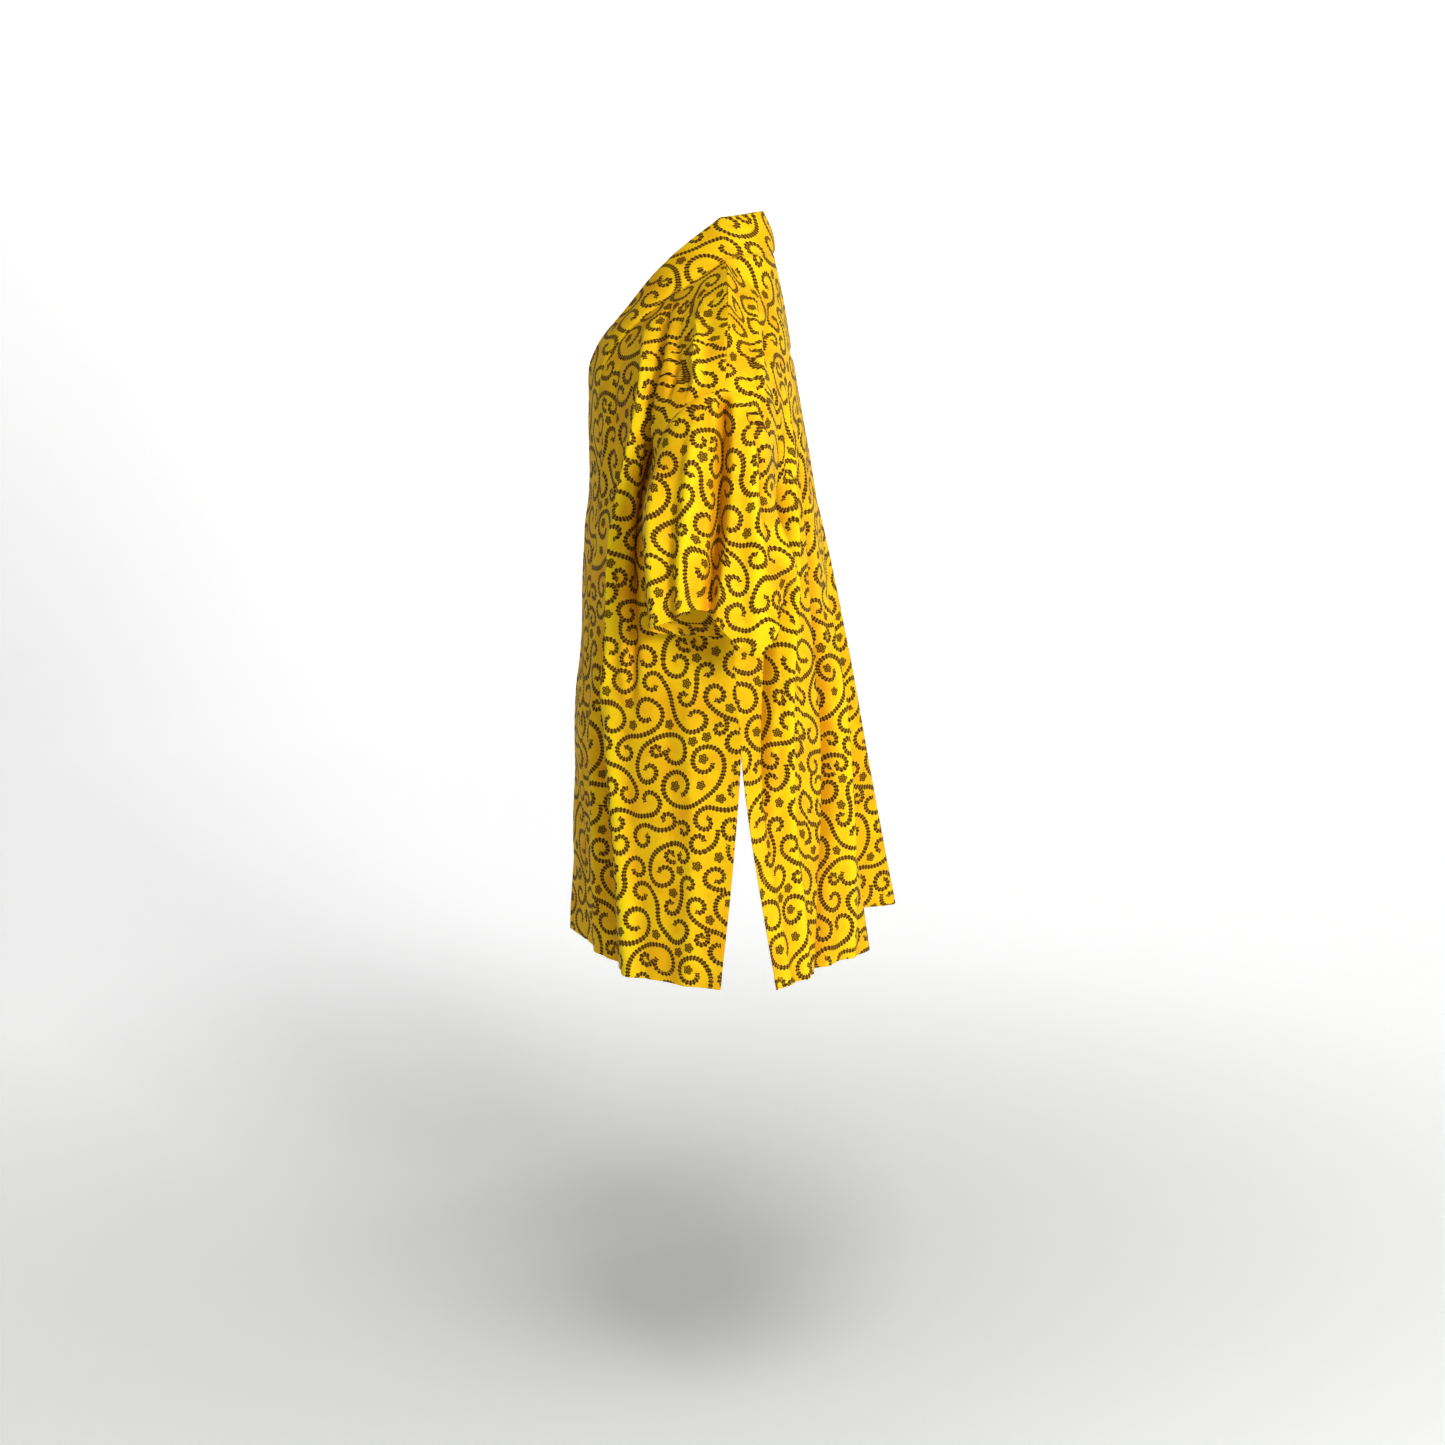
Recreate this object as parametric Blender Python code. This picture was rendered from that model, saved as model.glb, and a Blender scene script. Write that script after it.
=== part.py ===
"""Open-front kimono jacket of printed cotton, worn: back, two fronts, two wide
sleeves and one neckband, each its own solid wall of cloth. Metres, +Z up. The
front faces -Y and the wearer's left is +X. The origin is on the wearer's
shoulder line, at the middle of the neck, where the jacket hangs."""

import math

import bmesh
import bpy
import numpy as np

# ---- driving dimensions (metres) -------------------------------------------
CLOTH = 0.0016  # wall of a single panel
BAND_CLOTH = 0.0024  # wall of the folded neckband
SEAM_GAP = 0.0003  # between the pieces at a flat seam
BENT_SEAM_GAP = 0.0006  # where the seam itself bends, at shoulder and neck
ARMHOLE_GAP = 0.0007  # the sleeve's first ring stands this far off the armhole
BAND_WIDTH = 0.056  # neckband, seam to folded edge
BAND_ROLL = 0.005  # how far the band bulges outward round the neck

HEM_Z = -0.893
VENT_TOP_Z = -0.584
UNDERARM_Z = -0.325
UPPER_SPAN = 0.300  # length given to the rows from the underarm to the shoulder

NECK_POINT = (0.082, 0.004, 0.024)  # where shoulder seam and neckband meet
NAPE = (0.0, 0.067, 0.029)  # middle of the back neckline

# armhole: a tilted ring, from its top on the arm to the underarm
ARMHOLE_TOP = (0.263, 0.003, -0.130)
UNDERARM = (0.190, 0.003, UNDERARM_Z)
ARMHOLE_FRONT = 0.085  # reach to the front of the line from top to underarm
ARMHOLE_BACK = 0.060

ROWS_LOW = 18  # hem to underarm
ROWS_UP = 12  # underarm to shoulder seam, and half the samples round a sleeve
COLS_FRONT = 10
COLS_NECK = 8  # across the back neckline
ROWS_SLEEVE = 10
COLS_BAND = 3

# shoulder seam from the neck point out to the top of the armhole
SHOULDER = (
    # along, x, y, z
    (0.00, 0.082, 0.004, 0.024),
    (0.25, 0.130, 0.006, 0.004),
    (0.52, 0.183, 0.007, -0.026),
    (0.77, 0.229, 0.006, -0.069),
    (1.00, 0.263, 0.003, -0.130),
)

# side seam, which opens into the vent below its end
SIDE = (
    # z, x, y
    (-0.893, 0.268, 0.024),
    (-0.700, 0.250, 0.024),
    (-0.584, 0.239, 0.023),
    (-0.460, 0.208, 0.014),
    (-0.325, 0.190, 0.003),
)
VENT_FRONT = 0.027  # how far the front edge of the vent swings forward at the hem
VENT_BACK = 0.046  # and the back edge backward

# Front panels, one row for each section. level is z up to the underarm, and
# above it the share of the armhole climbed. Points: the neckband's seam, the
# chest, the ridge that hangs before the arm, and the hollow behind that ridge.
FRONT_LEFT = (
    # level, z at seam, seam x, y, chest x, y, ridge x, y, hollow x, y
    (-0.893, -0.893, 0.079, -0.184, 0.140, -0.157, 0.202, -0.122, 0.246, -0.060),
    (-0.700, -0.700, 0.085, -0.186, 0.145, -0.157, 0.202, -0.112, 0.238, -0.046),
    (-0.584, -0.584, 0.086, -0.187, 0.146, -0.158, 0.198, -0.116, 0.227, -0.050),
    (-0.460, -0.460, 0.088, -0.178, 0.145, -0.152, 0.194, -0.120, 0.204, -0.060),
    (-0.325, -0.325, 0.088, -0.168, 0.144, -0.146, 0.195, -0.116, 0.184, -0.064),
    (0.20, -0.252, 0.088, -0.160, 0.143, -0.139, 0.196, -0.112, 0.190, -0.074),
    (0.40, -0.165, 0.088, -0.161, 0.142, -0.133, 0.196, -0.106, 0.206, -0.083),
    (0.60, -0.108, 0.089, -0.151, 0.141, -0.124, 0.193, -0.098, 0.218, -0.087),
    (0.80, -0.050, 0.092, -0.102, 0.140, -0.091, 0.190, -0.075, 0.226, -0.062),
)
FRONT_RIGHT = (
    # level, z at seam, seam x, y, chest x, y, ridge x, y, hollow x, y
    (-0.893, -0.893, 0.184, -0.186, 0.212, -0.150, 0.240, -0.108, 0.258, -0.054),
    (-0.700, -0.700, 0.162, -0.188, 0.192, -0.152, 0.220, -0.104, 0.240, -0.044),
    (-0.584, -0.584, 0.143, -0.187, 0.178, -0.154, 0.208, -0.110, 0.229, -0.048),
    (-0.460, -0.460, 0.123, -0.178, 0.165, -0.150, 0.198, -0.114, 0.206, -0.058),
    (-0.325, -0.325, 0.104, -0.168, 0.152, -0.144, 0.195, -0.110, 0.184, -0.060),
    (0.20, -0.252, 0.096, -0.160, 0.146, -0.138, 0.195, -0.108, 0.190, -0.070),
    (0.40, -0.165, 0.091, -0.161, 0.143, -0.133, 0.195, -0.103, 0.206, -0.080),
    (0.60, -0.108, 0.090, -0.151, 0.141, -0.124, 0.193, -0.096, 0.218, -0.084),
    (0.80, -0.050, 0.092, -0.102, 0.140, -0.091, 0.190, -0.074, 0.226, -0.061),
)
FRONT_STATIONS = (0.0, 0.30, 0.58, 0.80, 1.0)
FRONT_CORNER_LIFT = (0.008, 0.031)  # left and right hem corners above HEM_Z

# Back panel, one row for each section, the same on both sides.
BACK = (
    # level, z at middle, middle y, neck line x, y, blade x, y, outer x, y
    (-0.893, -0.893, 0.168, 0.100, 0.172, 0.186, 0.131, 0.232, 0.097),
    (-0.700, -0.700, 0.158, 0.098, 0.151, 0.178, 0.106, 0.222, 0.066),
    (-0.584, -0.584, 0.152, 0.094, 0.142, 0.168, 0.098, 0.210, 0.058),
    (-0.460, -0.460, 0.143, 0.090, 0.131, 0.158, 0.090, 0.190, 0.052),
    (-0.325, -0.325, 0.131, 0.088, 0.118, 0.152, 0.082, 0.178, 0.045),
    (0.20, -0.250, 0.119, 0.088, 0.108, 0.157, 0.080, 0.186, 0.058),
    (0.40, -0.168, 0.104, 0.088, 0.099, 0.165, 0.078, 0.204, 0.066),
    (0.60, -0.098, 0.092, 0.088, 0.088, 0.171, 0.070, 0.218, 0.064),
    (0.80, -0.032, 0.081, 0.086, 0.068, 0.170, 0.048, 0.225, 0.046),
)
BACK_STATIONS = (0.0, 3 / 14, 6 / 14, 10 / 14, 1.0)

# Long folds of the flared back: each starts at its top and deepens to the hem.
BACK_FOLDS = (
    # crest x at the hem, top z, depth at hem, half-width to +X, half-width to -X
    (0.095, -0.420, 0.026, 0.055, 0.050),
    (-0.128, -0.250, 0.086, 0.040, 0.085),
)
BACK_HOLLOW = (0.010, -0.380, 0.016, 0.060)  # x, top z, depth, half-width

# Neckband: direction from its seam to its folded edge, down the fronts
BAND_LEAN_LEFT = (
    # level, x, y, z
    (-0.893, -0.880, -0.450, 0.030),
    (-0.700, -0.970, -0.240, 0.000),
    (-0.584, -0.975, -0.215, 0.000),
    (-0.460, -0.975, -0.200, 0.000),
    (-0.325, -0.970, -0.240, 0.010),
    (0.20, -0.970, -0.240, 0.020),
    (0.40, -0.960, -0.240, 0.060),
    (0.60, -0.930, -0.320, 0.150),
    (0.80, -0.870, -0.240, 0.400),
    (0.90, -0.640, -0.190, 0.745),
    (1.00, -0.400, -0.120, 0.910),
)
# and round the back of the neck, from the left neck point to the nape
BAND_LEAN_NECK = (
    # share of the way, x, y, z
    (0.0, -0.400, -0.120, 0.910),
    (0.5, -0.240, -0.170, 0.955),
    (1.0, 0.000, -0.270, 0.963),
)

# Sleeves: tilted oval rings from the armhole to the hem
SLEEVE = (
    # along, centre x, y, z, half-width out, tilt (degrees), reach front, back
    (0.00, 0.2265, 0.003, -0.2275, 0.1041, 69.5, 0.085, 0.060),
    (0.25, 0.2500, -0.001, -0.286, 0.0660, 45.0, 0.098, 0.066),
    (0.50, 0.2595, -0.003, -0.336, 0.0500, 24.0, 0.096, 0.081),
    (0.75, 0.2620, -0.003, -0.380, 0.0470, 9.0, 0.093, 0.090),
    (1.00, 0.2620, -0.003, -0.420, 0.0465, 0.0, 0.090, 0.089),
)
# height of the sleeve's hem round the arm: 0 is outward, 90 forward
SLEEVE_HEM = (
    # degrees, z
    (-180.0, -0.442),
    (-130.0, -0.405),
    (-85.0, -0.366),
    (-55.0, -0.408),
    (-32.0, -0.452),
    (-8.0, -0.428),
    (14.0, -0.394),
    (45.0, -0.410),
    (90.0, -0.424),
    (130.0, -0.436),
    (180.0, -0.442),
)

COLOURS = {
    # piece: base colour (linear), roughness
    "back_panel": (0.80, 0.47, 0.010, 0.72),
    "front_left": (0.83, 0.50, 0.012, 0.72),
    "front_right": (0.81, 0.48, 0.011, 0.72),
    "sleeve_left": (0.85, 0.52, 0.013, 0.72),
    "sleeve_right": (0.85, 0.52, 0.013, 0.72),
    "neckband": (0.78, 0.44, 0.010, 0.70),
}


# ---- curves through the tables ----------------------------------------------
def through(knots, values, at):
    """Smooth curve through values at the knots, read at the places given."""
    knots = np.asarray(knots, float)
    values = np.asarray(values, float)
    at = np.clip(np.atleast_1d(np.asarray(at, float)), knots[0], knots[-1])
    step = np.diff(knots)
    shape = (-1,) + (1,) * (values.ndim - 1)
    slope = np.diff(values, axis=0) / step.reshape(shape)
    bend = np.empty_like(values)
    bend[0], bend[-1] = slope[0], slope[-1]
    if len(knots) > 2:
        before, after = step[:-1].reshape(shape), step[1:].reshape(shape)
        bend[1:-1] = (after * slope[:-1] + before * slope[1:]) / (before + after)
    k = np.clip(np.searchsorted(knots, at, side="right") - 1, 0, len(step) - 1)
    h = step[k].reshape(shape)
    t = ((at - knots[k]) / step[k]).reshape(shape)
    return (
        (2 * t**3 - 3 * t**2 + 1) * values[k]
        + (t**3 - 2 * t**2 + t) * h * bend[k]
        + (-2 * t**3 + 3 * t**2) * values[k + 1]
        + (t**3 - t**2) * h * bend[k + 1]
    )


def rise(t):
    """0 to 1, smooth at both ends."""
    t = np.clip(t, 0.0, 1.0)
    return t * t * (3 - 2 * t)


def bump(distance, left, right):
    """A soft crest: 1 at its line, 0 at its two half-widths."""
    width = np.where(distance > 0, left, right)
    t = np.clip(np.abs(distance) / width, 0.0, 1.0)
    return 0.5 + 0.5 * np.cos(math.pi * t)


# ---- shared seam lines ------------------------------------------------------
def shoulder_line(share):
    """The shoulder seam from the neck point outward."""
    table = np.array(SHOULDER)
    return through(table[:, 0], table[:, 1:], share)


def armhole(climb, front):
    """The armhole from the underarm (0) to its top (1), by the front or back."""
    angle = math.pi * (1.0 - np.asarray(climb, float))
    top, low = np.array(ARMHOLE_TOP), np.array(UNDERARM)
    middle, half = (top + low) / 2, (top - low) / 2
    reach = -ARMHOLE_FRONT if front else ARMHOLE_BACK
    out = middle + np.outer(np.cos(angle), half)
    out[:, 1] += reach * np.sin(angle)
    return out


def armhole_way():
    """Across the armhole, out of the body into the sleeve."""
    climb = np.array(ARMHOLE_TOP) - np.array(UNDERARM)
    climb /= np.linalg.norm(climb)
    return climb, np.array((climb[2], 0.0, -climb[0]))


def armhole_normals():
    """Which way the wall faces at each point of both armholes, by its point."""
    climb, across = armhole_way()
    out = {}
    for front in (True, False):
        for k in range(ROWS_UP + 1):
            share = k / ROWS_UP
            angle = math.pi * (1 - share)
            n = climb * math.cos(angle)
            n = n + np.array((0, -1 if front else 1, 0)) * math.sin(angle)
            n = n + across * 0.75 * ((1 - math.cos(angle)) / 2) ** 2
            n /= np.linalg.norm(n)
            point = armhole([share], front)[0]
            for side in (1, -1):
                flip = np.array((side, 1, 1))
                out[tuple(np.round(point * flip, 6))] = n * flip
    return out


def side_line(z, front):
    """The side seam, and below its end the vent's edge on one panel."""
    table = np.array(SIDE)
    xy = through(table[:, 0], table[:, 1:], z)
    open_ = np.clip((VENT_TOP_Z - z) / (VENT_TOP_Z - HEM_Z), 0.0, 1.0) ** 1.3
    swing = -VENT_FRONT if front else VENT_BACK
    return np.column_stack((xy[:, 0], xy[:, 1] + swing * open_, z))


def neck_line(share):
    """Back neckline from the left neck point (0) over the nape to the right."""
    angle = math.pi * np.asarray(share, float)
    x = NECK_POINT[0] * np.cos(angle)
    y = NECK_POINT[1] + (NAPE[1] - NECK_POINT[1]) * np.sin(angle) ** 0.9
    z = NECK_POINT[2] + (NAPE[2] - NECK_POINT[2]) * np.sin(angle)
    return np.column_stack((x, y, z))


def place(level):
    """Where a level lies along a panel: z, or the climb above the underarm."""
    return level if level < 0 else UNDERARM_Z + UPPER_SPAN * level


def levels():
    """Places of a panel's rows, hem to shoulder."""
    low = np.linspace(HEM_Z, UNDERARM_Z, ROWS_LOW + 1)
    up = UNDERARM_Z + UPPER_SPAN * np.linspace(0, 1, ROWS_UP + 1)[1:]
    return np.concatenate((low, up))


def edge_line(at, front):
    """Outer edge of a panel at its rows: side seam, then armhole."""
    out = side_line(np.minimum(at, UNDERARM_Z), front)
    above = at > UNDERARM_Z + 1e-9
    if above.any():
        out[above] = armhole((at[above] - UNDERARM_Z) / UPPER_SPAN, front)
    return out


# ---- middle surfaces of the pieces ------------------------------------------
def front_surface(table, lift, side):
    """Rows from hem to shoulder, columns from the neckband's seam outward."""
    at = levels()
    cols = np.linspace(0, 1, COLS_FRONT + 1)
    controls, where = [], []
    for row in table:
        v = place(row[0])
        edge = edge_line(np.array([v]), True)[0]
        u = np.array(FRONT_STATIONS)
        z = row[1] + (edge[2] - row[1]) * u**1.7
        xy = np.array([row[2:4], row[4:6], row[6:8], row[8:10], edge[:2]])
        controls.append(through(u, np.column_stack((xy, z)), cols))
        where.append(v)
    controls.append(shoulder_line(cols))
    where.append(UNDERARM_Z + UPPER_SPAN)
    grid = through(where, np.array(controls), at)
    grid[:, -1] = edge_line(at, True)
    low = np.clip((UNDERARM_Z - at) / (UNDERARM_Z - HEM_Z), 0, 1) ** 3
    grid[:, :, 2] += lift * np.outer(low, (1 - rise(cols * 1.6)))
    grid[:, :, 0] *= side
    return grid


def back_surface():
    """Rows from hem to shoulder, columns from the left edge to the right."""
    at = levels()
    half = np.linspace(0, 1, COLS_FRONT + COLS_NECK // 2 + 1)
    controls, where = [], []
    for row in BACK:
        v = place(row[0])
        edge = edge_line(np.array([v]), False)[0]
        u = np.array(BACK_STATIONS)
        z = row[1] + (edge[2] - row[1]) * (1 - u) ** 1.7
        xy = np.array([edge[:2], row[7:9], row[5:7], row[3:5], (0.0, row[2])])
        left = through(u, np.column_stack((xy, z)), half)
        right = left[-2::-1] * (-1, 1, 1)
        controls.append(np.vstack((left, right)))
        where.append(v)
    shoulder = shoulder_line(np.linspace(1, 0, COLS_FRONT + 1))
    neck = neck_line(np.linspace(0, 1, COLS_NECK + 1))
    controls.append(
        np.vstack((shoulder, neck[1:-1], shoulder[::-1] * (-1, 1, 1)))
    )
    where.append(UNDERARM_Z + UPPER_SPAN)
    grid = through(where, np.array(controls), at)
    grid[:, 0] = edge_line(at, False)
    grid[:, -1] = edge_line(at, False) * (-1, 1, 1)
    for crest, top, depth, left, right in BACK_FOLDS:
        t = np.clip((top - at) / (top - HEM_Z), 0, 1)
        grow = depth * t**0.72
        line = crest * (0.72 + 0.28 * t)
        grid[:, :, 1] += grow[:, None] * bump(
            grid[:, :, 0] - line[:, None], left, right
        )
    x0, top, depth, width = BACK_HOLLOW
    grow = depth * rise((top - at) / (top - HEM_Z))
    grid[:, :, 1] -= grow[:, None] * bump(grid[:, :, 0] - x0, width, width)
    return grid


def sleeve_surface(side):
    """Rows from the armhole to the hem, columns round the arm (closed)."""
    table = np.array(SLEEVE)
    along = np.linspace(0, 1, ROWS_SLEEVE + 1)
    rings = through(table[:, 0], table[:, 1:], along)
    turn = 2 * math.pi * np.arange(2 * ROWS_UP) / (2 * ROWS_UP)
    grid = np.zeros((len(along), len(turn), 3))
    for i, (cx, cy, cz, half, tilt, front, back) in enumerate(rings):
        out = half * np.cos(turn)
        grid[i, :, 0] = cx + out * math.cos(math.radians(tilt))
        grid[i, :, 2] = cz + out * math.sin(math.radians(tilt))
        reach = np.where(np.sin(turn) > 0, front, back)
        grid[i, :, 1] = cy - reach * np.sin(turn)
    # the first ring is the armhole itself
    climb = 1 - turn[: ROWS_UP + 1] / math.pi
    grid[0, : ROWS_UP + 1] = armhole(climb, True)
    grid[0, ROWS_UP:] = armhole((turn[ROWS_UP:] - math.pi) / math.pi, False)
    # the hem rises and dips round the arm
    hem = np.array(SLEEVE_HEM)
    degrees = np.degrees(turn)
    degrees = np.where(degrees > 180, degrees - 360, degrees)
    drop = through(hem[:, 0], hem[:, 1], degrees) - grid[-1, :, 2]
    grid[:, :, 2] += np.outer(along**1.5, drop)
    grid[:, :, 0] *= side
    return grid


def band_surface(left, right):
    """Rows along the band, left hem to right hem; columns seam to fold."""
    at = levels()
    lean = np.array(BAND_LEAN_LEFT)
    where = [place(level) for level in lean[:, 0]]
    down = through(where, lean[:, 1:], at)
    neck = np.array(BAND_LEAN_NECK)
    share = np.linspace(0, 1, COLS_NECK + 1)
    round_ = through(neck[:, 0], neck[:, 1:], 1 - np.abs(1 - 2 * share))
    round_[:, 0] *= np.where(share > 0.5, -1, 1)
    seam = np.vstack(
        (left[:, 0], neck_line(share)[1:-1], right[::-1, 0])
    )
    lean = np.vstack((down, round_[1:-1], down[::-1] * (-1, 1, 1)))
    lean /= np.linalg.norm(lean, axis=1)[:, None]
    cols = np.linspace(0, 1, COLS_BAND + 1)
    grid = seam[:, None] + BAND_WIDTH * cols[None, :, None] * lean[:, None]
    # round the neck the band rolls outward between its seam and its fold
    along = np.abs(np.linspace(-1, 1, len(seam)))
    near = 1 - rise((along * len(seam) / 2 - COLS_NECK / 2) / (ROWS_UP * 0.6))
    run = np.gradient(seam, axis=0)
    out = np.cross(run, lean)
    out /= np.linalg.norm(out, axis=1)[:, None]
    roll = BAND_ROLL * near[:, None] * np.sin(math.pi * cols**0.8)[None, :]
    return grid + roll[:, :, None] * out[:, None]


# ---- walls ------------------------------------------------------------------
def face_normals(grid, closed):
    """Area-weighted normals of a grid's cells, added up at its points."""
    out = np.zeros_like(grid)
    rows, cols = grid.shape[:2]
    last = cols if closed else cols - 1
    for i in range(rows - 1):
        for j in range(last):
            k = (j + 1) % cols
            a, b, c, d = grid[i, j], grid[i, k], grid[i + 1, k], grid[i + 1, j]
            n = np.cross(c - a, d - b)
            for p in ((i, j), (i, k), (i + 1, k), (i + 1, j)):
                out[p] += n
    return out


def shared_normals(pieces):
    """Normals that are the same on both sides of every seam."""
    total = {}
    for name, (grid, closed, sign) in pieces.items():
        n = face_normals(grid, closed) * sign
        for p, q in zip(grid.reshape(-1, 3), n.reshape(-1, 3)):
            key = tuple(np.round(p, 6))
            total[key] = total.get(key, 0) + q
    total.update(armhole_normals())
    out = {}
    for name, (grid, closed, sign) in pieces.items():
        n = np.array(
            [total[tuple(np.round(p, 6))] for p in grid.reshape(-1, 3)]
        ).reshape(grid.shape)
        out[name] = n / np.linalg.norm(n, axis=2)[:, :, None]
    return out


def pull_back(grid, edges):
    """Draws the named edges of a grid in along its own surface, each by its
    own share of the seam's gap."""
    moved = grid.copy()
    ends = {
        "first_row": ((0, slice(None)), (1, slice(None))),
        "last_row": ((-1, slice(None)), (-2, slice(None))),
        "first_col": ((slice(None), 0), (slice(None), 1)),
        "last_col": ((slice(None), -1), (slice(None), -2)),
    }
    for edge, by in edges.items():
        here, inward = ends[edge]
        way = grid[inward] - grid[here]
        moved[here] += by * way / np.linalg.norm(way, axis=1)[:, None]
    return moved


def wall(name, grid, normals, thickness, closed):
    """One closed solid of even thickness on a grid of points."""
    rows, cols = grid.shape[:2]
    mesh = bmesh.new()
    outer = [
        [mesh.verts.new(grid[i, j] + normals[i, j] * thickness / 2) for j in range(cols)]
        for i in range(rows)
    ]
    inner = [
        [mesh.verts.new(grid[i, j] - normals[i, j] * thickness / 2) for j in range(cols)]
        for i in range(rows)
    ]
    last = cols if closed else cols - 1
    for i in range(rows - 1):
        for j in range(last):
            k = (j + 1) % cols
            mesh.faces.new((outer[i][j], outer[i][k], outer[i + 1][k], outer[i + 1][j]))
            mesh.faces.new((inner[i][j], inner[i + 1][j], inner[i + 1][k], inner[i][k]))
    for j in range(last):
        k = (j + 1) % cols
        mesh.faces.new((outer[0][j], inner[0][j], inner[0][k], outer[0][k]))
        mesh.faces.new((outer[-1][j], outer[-1][k], inner[-1][k], inner[-1][j]))
    if not closed:
        for i in range(rows - 1):
            mesh.faces.new((outer[i][0], outer[i + 1][0], inner[i + 1][0], inner[i][0]))
            mesh.faces.new((outer[i][-1], inner[i][-1], inner[i + 1][-1], outer[i + 1][-1]))
    bmesh.ops.recalc_face_normals(mesh, faces=mesh.faces)
    data = bpy.data.meshes.new(name)
    mesh.to_mesh(data)
    mesh.free()
    data.shade_smooth()
    data.set_sharp_from_angle(angle=math.radians(60))
    item = bpy.data.objects.new(name, data)
    bpy.context.scene.collection.objects.link(item)
    material = bpy.data.materials.new(name + "_cotton")
    material.use_nodes = True
    shader = material.node_tree.nodes["Principled BSDF"]
    red, green, blue, rough = COLOURS[name]
    shader.inputs["Base Color"].default_value = (red, green, blue, 1.0)
    shader.inputs["Roughness"].default_value = rough
    shader.inputs["Metallic"].default_value = 0.0
    data.materials.append(material)
    return item


def main():
    for item in list(bpy.data.objects):
        bpy.data.objects.remove(item)

    left = front_surface(FRONT_LEFT, FRONT_CORNER_LIFT[0], 1)
    right = front_surface(FRONT_RIGHT, FRONT_CORNER_LIFT[1], -1)
    pieces = {
        # piece: middle surface, closed round, side that faces out
        "back_panel": (back_surface(), False, 1),
        "front_left": (left, False, 1),
        "front_right": (right, False, -1),
        "sleeve_left": (sleeve_surface(1), True, 1),
        "sleeve_right": (sleeve_surface(-1), True, -1),
        "neckband": (band_surface(left, right), False, -1),
    }
    normals = shared_normals(pieces)
    flat, bent = SEAM_GAP * 0.6, BENT_SEAM_GAP * 0.7
    seams = {
        "back_panel": {"last_row": bent, "first_col": flat, "last_col": flat},
        "front_left": {"last_row": bent, "first_col": bent, "last_col": flat},
        "front_right": {"last_row": bent, "first_col": bent, "last_col": flat},
        "neckband": {"first_col": bent},
    }
    for name, (grid, closed, sign) in pieces.items():
        if closed:
            # the sleeve starts just outside the armhole
            grid = grid.copy()
            grid[0] += ARMHOLE_GAP * armhole_way()[1] * (sign, 1, 1)
        else:
            grid = pull_back(grid, seams[name])
        thick = BAND_CLOTH if name == "neckband" else CLOTH
        wall(name, grid, normals[name], thick, closed)


main()
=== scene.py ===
import math

import bpy
import numpy as np
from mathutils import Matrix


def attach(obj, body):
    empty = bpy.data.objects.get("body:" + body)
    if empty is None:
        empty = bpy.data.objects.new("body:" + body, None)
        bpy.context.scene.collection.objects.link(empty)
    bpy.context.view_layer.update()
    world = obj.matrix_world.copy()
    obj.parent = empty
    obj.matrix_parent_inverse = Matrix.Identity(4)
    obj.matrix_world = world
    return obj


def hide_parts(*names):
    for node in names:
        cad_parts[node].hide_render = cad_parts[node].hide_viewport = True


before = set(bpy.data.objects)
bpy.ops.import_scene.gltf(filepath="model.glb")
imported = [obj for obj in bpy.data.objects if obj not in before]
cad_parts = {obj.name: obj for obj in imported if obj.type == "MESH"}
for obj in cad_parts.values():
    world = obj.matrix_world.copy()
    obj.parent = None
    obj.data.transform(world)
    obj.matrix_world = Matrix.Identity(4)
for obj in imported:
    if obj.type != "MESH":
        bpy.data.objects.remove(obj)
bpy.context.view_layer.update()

# ---- sizes (metres), in the frame of the CAD --------------------------------
# +Z up, the front faces -Y, the wearer's left is +X, the origin is the middle
# of the neck on the wearer's shoulder line.
CLOTH = 0.0005  # the printed cotton
BAND_WIDTH = 0.056
BAND_ROLL = 0.005
BAND_HALF = 0.0008  # half the distance between the band's two layers
SEAM_PULL = 0.00008  # how far an edge stops short of its seam
SEAM_DIP = 0.0010  # how deep the cloth dips into a seam
SEAM_ROLL = 0.0045  # and how far from the seam that starts
ARMHOLE_GAP = 0.0002
HEM_TURN = 0.015  # width of the turned-up hem
HEM_RADIUS = 0.0006  # of the turn at the hem's edge
HEM_STITCH = 0.0128  # row of stitches above the hem's edge

HEM_Z = -0.893
VENT_TOP_Z = -0.584
UNDERARM_Z = -0.325
UPPER_SPAN = 0.300
TOP = UNDERARM_Z + UPPER_SPAN

NECK_POINT = (0.082, 0.004, 0.024)
NAPE = (0.0, 0.067, 0.029)
ARMHOLE_TOP = (0.263, 0.003, -0.130)
UNDERARM = (0.190, 0.003, UNDERARM_Z)
ARMHOLE_FRONT = 0.085
ARMHOLE_BACK = 0.060

SHOULDER = (
    # along, x, y, z
    (0.00, 0.082, 0.004, 0.024),
    (0.25, 0.130, 0.006, 0.004),
    (0.52, 0.183, 0.007, -0.026),
    (0.77, 0.229, 0.006, -0.069),
    (1.00, 0.263, 0.003, -0.130),
)
SIDE = (
    # z, x, y
    (-0.893, 0.268, 0.024),
    (-0.700, 0.250, 0.024),
    (-0.584, 0.239, 0.023),
    (-0.460, 0.208, 0.014),
    (-0.325, 0.190, 0.003),
)
VENT_FRONT = 0.027
VENT_BACK = 0.046

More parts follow.
